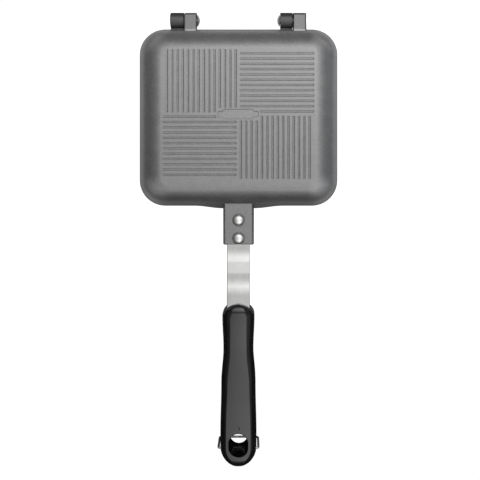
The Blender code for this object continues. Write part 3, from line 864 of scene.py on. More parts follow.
@dataclass
class PanCasting:
    """One cast pan with its grooved floor, its boss for the strap and its two hinge lugs."""

    half: Half
    corner: float = 21.5 * MM
    rim_width: float = 3.2 * MM
    rim_round: float = 0.35 * MM
    lip_height: float = 2.0 * MM
    draft: float = math.radians(22)
    fillet: float = 20.0 * MM
    corner_ease: float = 0.65
    handle_ease: float = 0.75
    trim: tuple[float, float] = (0.35 * MM, 0.85 * MM)
    trim_shift: float = -0.2 * MM
    floor_thickness: float = 3.2 * MM
    flare_reach: float = 38.0 * MM
    flare_depth: float = 2.2 * MM
    panel: tuple[float, float] = (62.0 * MM, 53.0 * MM)
    groove_pitch: float = 4.3 * MM
    groove_half: float = 1.17 * MM
    groove_bed: float = 0.08 * MM
    groove_depth: float = 0.40 * MM
    groove_corner: float = 0.8 * MM
    quarter_land: float = 1.2 * MM
    bare: tuple[float, float] = (16.7 * MM, 4.1 * MM)
    bare_top: float = 11.2 * MM
    bare_step: float = 1.7 * MM
    bare_chamfer: float = 1.6 * MM
    bare_corner: float = 0.9 * MM
    bare_depth: float = 0.6 * MM
    bare_land: float = 0.9 * MM
    boss_base: float = 13.0 * MM
    boss_top: float = 11.5 * MM
    boss_round: float = 0.6 * MM
    boss_corner: float = 1.4 * MM
    boss_root: float = 8.0 * MM
    lug_height: float = 8.5 * MM
    lug_shoulder: float = 2.6 * MM
    lug_root: float = 6.0 * MM
    lug_round: float = 1.1 * MM
    lug_near_round: float = 0.35 * MM
    lug_draft: float = math.radians(2)
    lug_end_draft: float = math.radians(9)
    overrun: float = 2.0 * MM
    coating: CastCoating = field(default_factory=CastCoating)

    def wall(self, rim_inset: float, foot: float, edge: float, floor: float, fillet: float) -> np.ndarray:
        """Insets and heights of a wall: small rim round, lip, drafted straight, and a round turn to the floor.

        Args:
            rim_inset: inset of the lip.
            foot: height where the wall starts.
            edge: radius of the rim's edge, or nothing for a square one.
            floor: height of the floor.
            fillet: radius of the turn to the floor.

        Returns:
            Rows of inset and height.
        """
        centre_z = floor - fillet
        wall_top = centre_z + fillet * math.sin(self.draft)
        centre_inset = rim_inset + math.tan(self.draft) * (wall_top - self.lip_height)
        centre_inset += fillet * math.cos(self.draft)
        turn = arc((-centre_inset, centre_z), fillet, self.draft, math.pi / 2, 30) * (-1, 1)
        start = arc((-rim_inset - edge, foot + edge), edge, -math.pi / 2, 0, 6) * (-1, 1)
        lip = np.array([(rim_inset, self.lip_height - 0.4 * MM)])
        break_up = rim_inset + math.tan(self.draft) * 0.4 * MM
        knee = np.array([(rim_inset + 0.04 * MM, self.lip_height), (break_up, self.lip_height + 0.4 * MM)])
        return np.concatenate((start, lip, knee, turn))

    def plan(self, rim_inset: float, side_steps: int, inset: np.ndarray) -> np.ndarray:
        """Outlines of a wall: the corners tighten slower than the inset, and the handle side is steeper.

        Args:
            rim_inset: inset of the wall's foot.
            side_steps: steps along each side.
            inset: one inset for each level.

        Returns:
            Points by level, place round the wall, and x or y.
        """
        across = LAYOUT.pan_width / 2 - self.trim[0] - rim_inset
        along = LAYOUT.pan_length / 2 - self.trim[1] - rim_inset
        climb = inset - rim_inset
        plan = RoundPlan(across, along, self.corner - rim_inset, 24, side_steps, ease=self.corner_ease)
        ring = plan.ring(climb)
        ring[..., 1] -= np.where(ring[..., 1] < 0, (1 - self.handle_ease) * climb[:, None], 0)
        return ring + np.array((0.0, self.trim_shift))

    def outside(self) -> bpy.types.Mesh:
        """The pan's outer form, still solid.

        Each ring is the rounded rectangle at its inset. On the handle side it swells towards the boss by the
        flare's depth, times the square of what is left of the depth, times half a cosine wave along x.

        Returns:
            The closed mesh.
        """
        wall = self.wall(0.0, LAYOUT.rim, self.rim_round, LAYOUT.pan_depth, self.fillet)
        ring = self.plan(0.0, 60, wall[:, 0])
        swell = self.flare_depth * (1 - wall[:, 1] / LAYOUT.pan_depth) ** 2
        reach = (np.abs(ring[..., 0]) - self.boss_base) / (self.flare_reach - self.boss_base)
        wave = (1 + np.cos(math.pi * np.clip(reach, 0, 1))) / 2
        ring[..., 1] -= np.where(ring[..., 1] < 0, swell[:, None] * wave, 0)
        height = np.broadcast_to(wall[:, 1, None, None], (*ring.shape[:2], 1))
        return Shell().tube(np.concatenate((ring, height), axis=-1)).mesh("pan_outside")

    def hollow(self) -> bpy.types.Mesh:
        """The space inside the pan, open at the rim, with its mouth's edge rounded."""
        fillet = self.fillet - self.floor_thickness
        floor = LAYOUT.pan_depth - self.floor_thickness
        wall = self.wall(self.rim_width, LAYOUT.rim, 0.0, floor, fillet)[7:]
        edge = arc((self.rim_width - self.rim_round, LAYOUT.rim + self.rim_round), self.rim_round, -math.pi / 2, 0, 6)
        start = np.array([(self.rim_width - self.rim_round, LAYOUT.rim - self.overrun)])
        levels = np.concatenate((start, edge, wall))
        ring = self.plan(self.rim_width, 4, levels[:, 0])
        height = np.broadcast_to(levels[:, 1, None, None], (*ring.shape[:2], 1))
        return Shell().tube(np.concatenate((ring, height), axis=-1)).mesh("pan_hollow")

    def boss(self) -> bpy.types.Mesh:
        """The drafted block for the strap, with round front corners and a rounded top edge."""
        edge = self.boss_round
        rounding = arc((-edge, LAYOUT.boss_height - edge), edge, 0, math.pi / 2, 8) * (-1, 1)
        levels = np.concatenate(([(0.0, LAYOUT.rim)], rounding))
        trim = levels[:, 0]
        slope = (self.boss_base - self.boss_top) / (LAYOUT.boss_height - LAYOUT.rim)
        lean = slope * (levels[:, 1] - LAYOUT.rim)
        root = -LAYOUT.pan_length / 2 + self.boss_root
        turn = arc((0, 0), 1.0, math.pi, 1.5 * math.pi, 10)
        left = np.column_stack((-np.ones(len(turn)), turn))
        right = left[::-1] * (-1, -1, 1)
        side = np.concatenate((left, right))
        half = (self.boss_base - lean - trim)[:, None]
        corner = np.maximum(self.boss_corner - trim, self.boss_corner / 3)[:, None]
        x = (half - corner) * side[:, 0] + corner * side[:, 1]
        end = (LAYOUT.boss_end + lean / 2 + trim)[:, None]
        y = end + corner * (1 + side[:, 2])
        back = np.concatenate((half, -half), axis=1)
        x = np.concatenate((x, back), axis=1)
        y = np.concatenate((y, np.full(back.shape, root)), axis=1)
        z = np.broadcast_to(levels[:, 1:], x.shape)
        return Shell().tube(np.stack((x, y, z), axis=-1)).mesh("boss")

    def lug_outline(self, inset: np.ndarray) -> np.ndarray:
        """Outlines (y, z) of a lug: a barrel on the parting plane with a flat back that runs into the pan.

        Args:
            inset: one inward distance for each level.

        Returns:
            Points by level, place round the outline, and y or z.
        """
        inset = np.asarray(inset)[:, None]
        barrel = LAYOUT.barrel_radius - inset
        shoulder = self.lug_shoulder - inset
        height = self.lug_height - inset
        meet = np.arctan2(height, shoulder) - np.arccos(barrel / np.hypot(shoulder, height))
        angle = meet + (-math.pi - meet) * np.linspace(0, 1, 41)
        root = LAYOUT.pan_length / 2 - self.lug_root
        one = np.ones_like(inset)
        y = (LAYOUT.hinge_y + barrel * np.cos(angle), LAYOUT.hinge_y - barrel, root * one, root * one,
             LAYOUT.hinge_y + shoulder)
        z = (barrel * np.sin(angle), LAYOUT.rim * one, LAYOUT.rim * one, height, height)
        return np.stack((np.concatenate(y, axis=1), np.concatenate(z, axis=1)), axis=-1)

    def lug(self, name: str, side: int, outer: bool) -> bpy.types.Mesh:
        """One hinge lug, drafted away from the parting plane, with both its end edges rounded.

        Args:
            name: name of the mesh.
            side: -1 for the left and 1 for the right.
            outer: whether it is the pan's outer lug.

        Returns:
            The closed mesh.
        """
        near, far = LAYOUT.lug_span(outer)
        first = arc((0, 0), 1.0, math.pi, math.pi / 2, 6)
        last = arc((0, 0), 1.0, math.pi / 2, 0, 8)
        place = np.concatenate((near + self.lug_near_round * (1 + first[:, 0]),
                                far - self.lug_round * (1 - last[:, 0])))
        inset = np.concatenate((self.lug_near_round * (1 - first[:, 1]), self.lug_round * (1 - last[:, 1])))
        end_draft = math.tan(self.lug_end_draft if outer else self.lug_draft)
        lean = np.concatenate((np.full(len(first), math.tan(self.lug_draft)), np.full(len(last), -end_draft)))
        outline = self.lug_outline(inset)
        x = side * (place[:, None] + lean[:, None] * np.maximum(outline[..., 1], 0))
        return Shell().tube(np.concatenate((x[..., None], outline), axis=-1)).mesh(name)

    def lug_bore(self, name: str, side: int, outer: bool) -> bpy.types.Mesh:
        """The pin's hole through one lug."""
        near, far = LAYOUT.lug_span(outer)
        radius = LAYOUT.pin_radius + LAYOUT.gap
        ends = sorted((side * (near - self.overrun), side * (far + self.overrun)))
        profile = np.array([(radius, ends[0]), (radius, ends[1])])
        return Shell().tube(turned(profile, 40, (0, LAYOUT.hinge_y, 0), "x")).mesh(name)

    def cutter(self, plan: np.ndarray, depths: np.ndarray) -> np.ndarray:
        """Rings of a cutter that enters the floor from above.

        Args:
            plan: its outlines by level, the widest first.
            depths: how deep each of them lies under the floor.

        Returns:
            Rings, with two wide ones added that stand just above the floor.
        """
        plan = np.concatenate((plan[:1], plan))
        lift = np.concatenate(([-self.overrun, -0.01 * MM], depths[1:]))
        height = np.broadcast_to((LAYOUT.pan_depth - lift)[:, None, None], (*plan.shape[:2], 1))
        return np.concatenate((plan, height), axis=-1)

    def grooves(self) -> bpy.types.Mesh:
        """One cutter with all grooves: upright in two opposite quarters of the floor, level in the others.

        A groove's side falls from the floor to its bed as three shares squared less two shares cubed.

        Returns:
            A mesh of one closed body for each groove.
        """
        shell = Shell()
        share = np.linspace(0, 1, 9)
        inset = share * (self.groove_half - self.groove_bed)
        depths = self.groove_depth * smooth(share)
        for side_x, side_y in ((-1, 1), (1, 1), (-1, -1), (1, -1)):
            upright = side_x != side_y
            panel = self.panel if upright else self.panel[::-1]
            bare = self.bare if upright else self.bare[::-1]
            for number in range(int(panel[0] / self.groove_pitch)):
                middle = self.groove_pitch * (number + 0.5)
                beside = middle < bare[0] + self.bare_land + self.groove_half
                start = bare[1] + self.bare_land if beside else self.quarter_land
                half = (self.groove_half, (panel[1] - start) / 2)
                centre = (middle, (panel[1] + start) / 2)
                if not upright:
                    half, centre = half[::-1], centre[::-1]
                plan = RoundPlan(*half, self.groove_corner, 6).ring(inset)
                plan = plan + np.array((side_x * centre[0], side_y * centre[1]))
                shell.tube(self.cutter(plan, depths))
        return shell.mesh("grooves")

    def bare_field(self) -> bpy.types.Mesh:
        """Cutter of the sunk bare field, with stepped and chamfered corners and softened walls."""
        half_x, half_y = self.bare
        quarter = np.array([(half_x, half_y - self.bare_step - self.bare_corner),
                            (half_x - self.bare_corner, half_y - self.bare_step),
                            (self.bare_top + self.bare_chamfer, half_y - self.bare_step),
                            (self.bare_top, half_y)])
        upper = np.concatenate((quarter, quarter[::-1] * (-1, 1)))
        outline = np.concatenate((upper, -upper))
        share = np.linspace(0, 1, 7)
        plan = inset_outline(outline, share * 0.35 * MM)
        return Shell().tube(self.cutter(plan, self.bare_depth * smooth(share))).mesh("field")

    def rivet_hole(self, name: str, place: float) -> bpy.types.Mesh:
        """Cutter of a rivet's hole: splayed foot, shank, and a spot face for the head with a soft edge.

        Args:
            name: name of the mesh.
            place: the rivet's place along y.

        Returns:
            The closed mesh.
        """
        gap, top = LAYOUT.gap, LAYOUT.boss_height
        seat = top - LAYOUT.spot_depth
        shank = LAYOUT.rivet_shank + gap
        edge = 0.25 * MM
        rim = arc((LAYOUT.spot_face + edge, top - edge), edge, math.pi, math.pi / 2, 5)
        profile = np.concatenate(([
            (LAYOUT.rivet_foot + gap, LAYOUT.rim - self.overrun),
            (LAYOUT.rivet_foot + gap, LAYOUT.rim + gap),
            (shank, LAYOUT.rim + LAYOUT.rivet_foot_height + gap),
            (shank, seat),
            (LAYOUT.spot_face, seat),
        ], rim, [(LAYOUT.spot_face + edge, top + self.overrun)]))
        return Shell().tube(turned(profile, 64, (0, place, 0))).mesh(name)

    def socket(self) -> bpy.types.Mesh:
        """The strap's socket in the boss."""
        half = LAYOUT.strap_width / 2 + LAYOUT.gap
        rise = LAYOUT.strap_thickness / 2 + LAYOUT.gap
        outline = RoundPlan(half, rise, 0.3 * MM, 4).ring(np.zeros(1))[0]
        levels = np.array((LAYOUT.boss_end - self.overrun, LAYOUT.boss_end + LAYOUT.socket_depth))
        rings = extruded(outline, levels)[..., [0, 2, 1]] + np.array((0, 0, LAYOUT.boss_strap_z))
        return Shell().tube(rings).mesh("socket")

    def build(self) -> bpy.types.Object:
        """Model, place and dress the casting."""
        joins = [self.boss(), self.lug("inner_lug", -1, False), self.lug("outer_lug", 1, True)]
        cuts = [self.hollow(), self.grooves(), self.bare_field(), self.socket(),
                self.lug_bore("inner_bore", -1, False), self.lug_bore("outer_bore", 1, True)]
        cuts += [self.rivet_hole(f"rivet_hole_{number}", place) for number, place in enumerate(LAYOUT.rivets)]
        mesh = carved("pan", self.outside(), joins, cuts)
        move(mesh, self.half)
        material = self.coating.material(f"{self.half.value}_pan_coating", self.half)
        return publish(f"{self.half.value}_pan", mesh, material, self.half.body)


def move(mesh: bpy.types.Mesh, half: Half) -> None:
    """Move a mesh from the half's frame to its place on the toaster."""
    points = np.empty(len(mesh.vertices) * 3, np.float32)
    mesh.vertices.foreach_get("co", points)
    placed = half.place(points.reshape(-1, 3).astype(float))
    mesh.vertices.foreach_set("co", placed.astype(np.float32).ravel())
    mesh.update()


def dome(radius: float, base: float, height: float, steps: int = 14) -> np.ndarray:
    """Radius and height of a round cap on a ball, from its edge to its crown.

    Args:
        radius: radius of the cap's edge.
        base: height of the edge.
        height: rise of the crown above it.
        steps: number of steps.

    Returns:
        Rows of radius and height.
    """
    ball = (radius**2 + height**2) / (2 * height)
    angle = np.linspace(math.asin(min(radius / ball, 1.0)), 0, steps + 1)
    return np.column_stack((ball * np.sin(angle), base + height - ball + ball * np.cos(angle)))


@dataclass
class HingePin:
    """Domed pin through a pan's inner lug and the other pan's outer lug."""

    half: Half
    head: float = 4.7 * MM
    rise: float = 2.2 * MM
    tip: float = 0.6 * MM
    metal: PolishedMetal = field(default_factory=PolishedMetal)

    def build(self) -> bpy.types.Object:
        """Model, place and dress the pin."""
        end = LAYOUT.lug_span(True)[1] - LAYOUT.gap
        radius = LAYOUT.pin_radius
        seat = LAYOUT.gap - LAYOUT.lug_start
        profile = np.concatenate((
            [(0.0, -end), (radius - self.tip, -end)],
            arc((radius - self.tip, self.tip - end), self.tip, -math.pi / 2, 0, 6),
            [(radius, seat)],
            [(self.head - 0.3 * MM, seat)],
            dome(self.head, seat + 0.3 * MM, self.rise - 0.3 * MM),
        ))
        mesh = Shell().tube(turned(profile, 48, (0, LAYOUT.hinge_y, 0), "x")).mesh("hinge_pin")
        move(mesh, self.half)
        material = self.metal.material(f"{self.half.value}_pin_steel", 0.1)
        return publish(f"{self.half.value}_hinge_pin", mesh, material, self.half.body)


@dataclass
class Rivet:
    """Domed rivet through the boss and the strap."""

    half: Half
    end: str
    place: float
    head: float = 4.8 * MM
    rise: float = 2.1 * MM
    flatness: float = 2.0
    metal: PolishedMetal = field(default_factory=lambda: PolishedMetal(roughness=0.2))

    def crown(self, base: float) -> np.ndarray:
        """Radius and height of the head: (radius / head) ** flatness + (height / rise) ** flatness = 1."""
        angle = np.linspace(0, math.pi / 2, 24)
        radius = self.head * np.cos(angle) ** (2 / self.flatness)
        return np.column_stack((radius, base + self.rise * np.sin(angle) ** (2 / self.flatness)))

    def build(self) -> bpy.types.Object:
        """Model, place and dress the rivet."""
        seat = LAYOUT.boss_height - LAYOUT.spot_depth + LAYOUT.gap
        profile = np.concatenate((
            [(0.0, LAYOUT.rim), (LAYOUT.rivet_foot, LAYOUT.rim)],
            [(LAYOUT.rivet_shank, LAYOUT.rim + LAYOUT.rivet_foot_height), (LAYOUT.rivet_shank, seat)],
            self.crown(seat),
        ))
        mesh = Shell().tube(turned(profile, 48, (0, self.place, 0))).mesh("rivet")
        move(mesh, self.half)
        name = f"{self.half.value}_{self.end}_rivet"
        return publish(name, mesh, self.metal.material(f"{name}_metal", self.place), self.half.body)


@dataclass
class Strap:
    """Bent flat bar between the boss and the grip."""

    half: Half
    edge: float = 0.5 * MM
    first_run: float = 2.5 * MM
    ramp_kick: float = math.radians(14)
    kick_radius: float = 40.0 * MM
    ramp_slope: float = math.radians(7)
    ramp_run: float = 8.0 * MM
    ramp_radius: float = 22.0 * MM
    sweep_slope: float = math.radians(12)
    sweep_radius: float = 43.0 * MM
    sweep_end_radius: float = 50.0 * MM
    metal: RolledAluminium = field(default_factory=RolledAluminium)

    def path(self) -> np.ndarray:
        """Points and slopes of the strap's middle line.

        The line is straight runs and arcs. Over each small step the slope is even, and y falls by the step's
        cosine while z climbs by its sine, so both are running sums.

        Returns:
            Rows of y, z and slope, from the boss's socket to the grip's slot.
        """
        start = LAYOUT.boss_end + LAYOUT.socket_depth - LAYOUT.gap
        end = LAYOUT.grip_end + GripMoulding.strap_reach()
        pieces = [(0.0, start - LAYOUT.boss_end + self.first_run), (self.ramp_kick, self.kick_radius),
                  (self.ramp_slope - self.ramp_kick, self.ramp_radius), (0.0, self.ramp_run),
                  (-self.ramp_slope, self.ramp_radius), (self.sweep_slope, self.sweep_radius),
                  (-self.sweep_slope, self.sweep_end_radius)]
        slopes, lengths, slope = [], [], 0.0
        for turn, size in pieces:
            steps = 14 if turn else 1
            part = turn / steps
            slopes += [slope + part * (step + 0.5) for step in range(steps)]
            lengths += [2 * size * math.sin(abs(part) / 2) if turn else size] * steps
            slope += turn
        slopes, lengths = np.array(slopes), np.array(lengths)
        y = start - np.concatenate(([0], np.cumsum(lengths * np.cos(slopes))))
        z = LAYOUT.boss_strap_z + np.concatenate(([0], np.cumsum(lengths * np.sin(slopes))))
        y, z = np.append(y, end), np.append(z, z[-1])
        slopes = np.append(slopes, 0.0)
        at_point = np.concatenate(([0.0], (slopes[1:] + slopes[:-1]) / 2, [0.0]))
        return np.column_stack((y, z, at_point))

    def build(self) -> bpy.types.Object:
        """Model, place and dress the strap."""
        path = self.path()
        section = RoundPlan(LAYOUT.strap_width / 2, LAYOUT.strap_thickness / 2, self.edge, 5).ring(np.zeros(1))[0]
        x = np.broadcast_to(section[:, 0], (len(path), len(section)))
        y = path[:, :1] + section[:, 1] * np.sin(path[:, 2:])
        z = path[:, 1:2] + section[:, 1] * np.cos(path[:, 2:])
        bar = Shell().tube(np.stack((x, y, z), axis=-1)).mesh("bar")
        reach = np.array([(LAYOUT.rivet_shank + LAYOUT.gap, -LAYOUT.boss_height),
                          (LAYOUT.rivet_shank + LAYOUT.gap, 2 * LAYOUT.boss_height)])
        holes = [Shell().tube(turned(reach, 40, (0, place, 0))).mesh("hole") for place in LAYOUT.rivets]
        mesh = carved("strap", bar, cuts=holes)
        move(mesh, self.half)
        material = self.metal.material(f"{self.half.value}_strap_aluminium", 0.2)
        return publish(f"{self.half.value}_strap", mesh, material, self.half.body)


@dataclass
class GripMoulding:
    """Moulded black grip with a flat face, a rolled nose, a hanging slot and a locating mark."""

    half: Half
    nose_length: float = 10.0 * MM
    tail_length: float = 16.3 * MM
    plan: tuple = ((10.0 * MM, 13.43 * MM), (37.0 * MM, 12.5 * MM), (66.0 * MM, 14.3 * MM), (108.0 * MM, 15.05 * MM))
    top: tuple = ((12.5 * MM, 17.2 * MM), (38.5 * MM, 16.6 * MM), (99.0 * MM, 18.0 * MM))
    shoulders: tuple = ((12.5 * MM, 6.9 * MM), (38.5 * MM, 5.9 * MM), (99.0 * MM, 5.1 * MM))
    shoulder_bite: float = 1.5
    crown: float = 0.2 * MM
    belly: float = 7.0 * MM
    foot_round: float = 3.0 * MM
    nose_lip: float = 3.6 * MM
    nose_rise: float = 5.6 * MM
    crease_at: float = 6.7 * MM
    crease_half: float = 1.2 * MM
    crease_depth: float = 0.55 * MM
    face_at: float = 7.4 * MM
    face_end: float = 3.6 * MM
    tail_drops: tuple[float, float] = (8.0 * MM, 16.5 * MM)
    tail_face_from: float = 5.2 * MM
    tail_face: float = 12.8 * MM
    tail_foot: float = 6.0 * MM
    slot_round: float = 1.0 * MM
    pit_radius: float = 1.5 * MM
    pit_depth: float = 0.5 * MM
    phenolic: Phenolic = field(default_factory=Phenolic)

    SLOT = (15.5 * MM, 18.6 * MM, 10.6 * MM)
    WEB = 4.2 * MM

    @classmethod
    def strap_reach(cls) -> float:
        """Distance from the grip's tail to the strap's end."""
        return cls.SLOT[2] + cls.SLOT[1] + cls.WEB + LAYOUT.gap

    def sections(self) -> np.ndarray:
        """Closed sections from the nose to the tail.

        The half width is the eased plan, narrowed at both round ends. Over the belly a section is a faintly
        crowned face, and on each side cosine to the bite's power against sine. Under the belly an ellipse's
        quarter runs to the flat parting side.

        Returns:
            Points by place along the grip, place round the section, and axis.
        """
        length = LAYOUT.grip_length
        nose = self.nose_rise * (1 - np.cos(np.linspace(0, math.pi / 2, 22)))
        crease = np.linspace(self.nose_rise, self.face_at + self.face_end, 28)[1:]
        body = np.linspace(crease[-1], length - self.tail_length, 60)[1:]
        tail = length - self.tail_length * (1 - np.sin(np.linspace(0, math.pi / 2, 50)))[1:]
        place = np.concatenate((nose, crease, body, tail))
        from_tail = length - place
        ends = round_end(place, self.nose_length) * round_end(from_tail, self.tail_length)
        half = ends * eased(self.plan, place)
        middle = Strap(self.half).path()[-1, 1]
        nose_top = middle + self.nose_lip
        top = nose_top + (eased(self.top, place) - nose_top) * round_end(place, self.nose_rise)
        near = np.clip(np.abs(place - self.crease_at) / self.crease_half, 0, 1)
        top = top - self.crease_depth * (1 + np.cos(math.pi * near)) / 2
        drop = self.tail_drops[self.half is Half.LOWER]
        top = self.belly + (top - self.belly) * round_end(from_tail, drop)
        nose_foot = (middle - self.nose_lip - LAYOUT.gap) * (1 - round_end(place, self.nose_length))
        foot = LAYOUT.gap + nose_foot + (self.belly - LAYOUT.gap) * (1 - round_end(from_tail, self.tail_foot))
        belly = np.where(place > self.nose_length, np.minimum(self.belly, top), np.maximum(self.belly, foot))
        shoulder = eased(self.shoulders, place)
        face = (eased(self.plan, place) - shoulder) * round_end(np.maximum(place - self.face_at, 0), self.face_end)
        face = face * round_end(np.maximum(from_tail - self.tail_face_from, 0), self.tail_face, 2.3, 0.55)
        face = np.maximum(np.minimum(face, half * 0.8), half * 0.42)
        low = np.minimum(self.foot_round, half / 2)
        under = np.linspace(0, math.pi / 2, 13)
        over = np.linspace(0, math.pi / 2, 29)[1:]
        across = np.linspace(1, -1, 11)[1:-1]
        column = [values[:, None] for values in (half, top, foot, belly, face, low)]
        half, top, foot, belly, face, low = column
        crown = np.minimum(self.crown, (top - belly) / 8)
        flank = face + (half - face) * np.cos(over) ** self.shoulder_bite
        x = np.concatenate((half - low * (1 - np.sin(under)), flank), axis=1)
        z = np.concatenate((belly - (belly - foot) * np.cos(under), belly + (top - crown - belly) * np.sin(over)), axis=1)
        x = np.concatenate((x, face * across, -x[:, ::-1]), axis=1)
        z = np.concatenate((z, top - crown * across**2, z[:, ::-1]), axis=1)
        y = np.broadcast_to((LAYOUT.grip_start - place)[:, None], x.shape)
        return np.stack((x, y, z), axis=-1)

    def slot(self) -> bpy.types.Mesh:
        """Cutter of the hanging slot, with a rounded mouth on the face."""
        width, length, from_tail = self.SLOT
        edge = self.slot_round
        mouth = arc((edge, LAYOUT.palm_top - edge), edge, math.pi, math.pi / 2, 8)
        levels = np.concatenate(([(0, -2 * MM)], mouth, [(edge, LAYOUT.palm_top + 2 * MM)]))
        plan = RoundPlan(width / 2, length / 2, width / 2, 24).ring(-levels[:, 0])
        plan = plan + np.array((0, LAYOUT.grip_end + from_tail + length / 2))
        height = np.broadcast_to(levels[:, 1, None, None], (*plan.shape[:2], 1))
        return Shell().tube(np.concatenate((plan, height), axis=-1)).mesh("slot")

    def cuts(self) -> list[bpy.types.Mesh]:
        """Cutters of the slot, the locating mark, the bail's pivot holes and the strap's slot."""
        half = LAYOUT.strap_width / 2 + LAYOUT.gap
        rise = LAYOUT.strap_thickness / 2 + LAYOUT.gap
        middle = Strap(self.half).path()[-1, 1]
        strap_end = LAYOUT.grip_end + self.strap_reach()
        outline = RoundPlan(half, rise, 0.4 * MM, 4).ring(np.zeros(1))[0]
        levels = np.array((strap_end - LAYOUT.gap, LAYOUT.grip_start + 2 * MM))
        strap_slot = Shell().tube(extruded(outline, levels)[..., [0, 2, 1]] + np.array((0, 0, middle)))
        cuts = [self.slot()]
        pit = np.concatenate(([(0.0, LAYOUT.palm_top - self.pit_depth)],
                              dome(self.pit_radius, -LAYOUT.palm_top, 0.25 * MM)[::-1] * (1, -1),
                              [(self.pit_radius, LAYOUT.palm_top + 1 * MM)]))
        pit[1:-1, 1] -= 0.25 * MM
        cuts.append(Shell().tube(turned(pit[1:], 32, (0, strap_end, 0))).mesh("mark"))
        radius = LAYOUT.wire_radius + LAYOUT.gap
        bottom = LAYOUT.palm_half - LAYOUT.wire_turn_in - LAYOUT.gap
        for side in (-1, 1):
            ends = sorted((side * bottom, side * (LAYOUT.palm_half + 2 * MM)))
            profile = np.array([(radius, ends[0]), (radius, ends[1])])
            cuts.append(Shell().tube(turned(profile, 32, (0, LAYOUT.pivot_y, LAYOUT.pivot_height), "x")).mesh("pivot"))
        return cuts + [strap_slot.mesh("strap_slot")]

    def build(self) -> bpy.types.Object:
        """Model, place and dress the grip."""
        mesh = carved("grip", Shell().tube(self.sections()).mesh("block"), cuts=self.cuts())
        move(mesh, self.half)
        material = self.phenolic.material(f"{self.half.value}_grip_phenolic", 0.4)
        return publish(f"{self.half.value}_grip", mesh, material, self.half.body)


@dataclass
class LatchBail:
    """Wire bail: turned-in ends in the upper grip, two arms, and a crossbar under the lower grip."""

    bend: float = 3.0 * MM
    eye_bend: float = 1.5 * MM
    side_play: float = 0.6 * MM
    sides: int = 20
    metal: PolishedMetal = field(default_factory=lambda: PolishedMetal(roughness=0.42, metallic=0.7))

    def path(self) -> np.ndarray:
        """Points x, z of the wire's middle line: straight runs, turned square on arcs."""
        arm = LAYOUT.palm_half + self.side_play + LAYOUT.wire_radius
        tip = LAYOUT.palm_half - LAYOUT.wire_turn_in
        low = -(LAYOUT.palm_top + LAYOUT.gap + LAYOUT.wire_radius)
        high = LAYOUT.pivot_height
        right = np.concatenate((
            arc((arm - self.bend, low + self.bend), self.bend, -math.pi / 2, 0, 12),
            arc((arm - self.eye_bend, high - self.eye_bend), self.eye_bend, 0, math.pi / 2, 10),
            [(tip, high)],
        ))
        return np.concatenate((right[::-1] * (-1, 1), right))

    def build(self) -> bpy.types.Object:
        """Model, place and dress the bail: each ring is square to the path."""
        path = self.path()
        ahead = np.gradient(path, axis=0)
        ahead = ahead / np.linalg.norm(ahead, axis=1, keepdims=True)
        angle = np.linspace(0, 2 * math.pi, self.sides, endpoint=False)
        out = LAYOUT.wire_radius * np.cos(angle)
        x = path[:, :1] - ahead[:, 1:] * out
        z = path[:, 1:] + ahead[:, :1] * out
        y = np.broadcast_to(LAYOUT.pivot_y + LAYOUT.wire_radius * np.sin(angle), x.shape)
        mesh = Shell().tube(np.stack((x, y, z), axis=-1)).mesh("bail")
        move(mesh, Half.UPPER)
        return publish("latch_bail", mesh, self.metal.material("bail_wire", 0.5), "bail", sharp=50.0)


@dataclass(frozen=True)
class SoftBox:
    """The long soft box over the table, as a patch of the sky.

    Its brightness is the product of a level across (degrees to the right of straight up) and one along
    (degrees to the back).
    """

    across: tuple[tuple[float, float], ...]
    along: tuple[tuple[float, float], ...]

    def light(self, graph: Graph, way: bpy.types.NodeSocket) -> bpy.types.NodeSocket:
        """Shader of the box.

        Args:
            graph: the world's nodes.
            way: the direction that is looked in.

        Returns:
            The shader's socket.
        """
        split = graph.node("ShaderNodeSeparateXYZ", {}, {0: way})
        right, back, up = (Value(graph, split.outputs[axis]) for axis in "XYZ")
        total = 1.0
        for part, stops in ((right, self.across), (back, self.along)):
            most = max(level for _, level in stops)
            places = [(0.5 + angle / 360, level / most) for angle, level in stops]
            share = part.math("ARCTAN2", up) / (2 * math.pi) + 0.5
            ramp = graph.node("ShaderNodeValToRGB", {"stops": places}, {"Fac": share})
            total = Value(graph, ramp.outputs["Color"]) * most * total
        return graph.node("ShaderNodeBackground", {}, {"Strength": total, "Color": (1.0, 1.0, 1.0, 1.0)}).outputs[0]


@dataclass(frozen=True)
class SkyLobe:
    """A soft round patch of the studio's sky.

    Its tilt is given in degrees to the right and to the back of straight up, and its brightness by rows of
    degrees from its middle, the widest first, and level.
    """

    name: str
    tilt: tuple[float, float]
    stops: tuple[tuple[float, float], ...]
    colour: tuple[float, float, float] = (1.0, 1.0, 1.0)

    def light(self, graph: Graph, way: bpy.types.NodeSocket) -> bpy.types.NodeSocket:
        """Shader of the lobe.

        Args:
            graph: the world's nodes.
            way: the direction that is looked in.

        Returns:
            The shader's socket.
        """
        right, back = (math.tan(math.radians(angle)) for angle in self.tilt)
        axis = np.array((right, back, 1.0)) / math.hypot(right, back, 1.0)
        lift = graph.node("ShaderNodeVectorMath", {"operation": "DOT_PRODUCT"}, {0: way, 1: tuple(axis)})
        most = max(level for _, level in self.stops)
        places = [((1 + math.cos(math.radians(angle))) / 2, level / most) for angle, level in self.stops]
        share = Value(graph, lift.outputs["Value"]) * 0.5 + 0.5
        ramp = graph.node("ShaderNodeValToRGB", {"stops": places}, {"Fac": share})
        tint = graph.blend(Value(graph, ramp.outputs["Color"]), (0.0, 0.0, 0.0), self.colour)
        light = graph.node("ShaderNodeBackground", {}, {"Color": tint, "Strength": most})
        light.label = self.name
        return light.outputs["Background"]


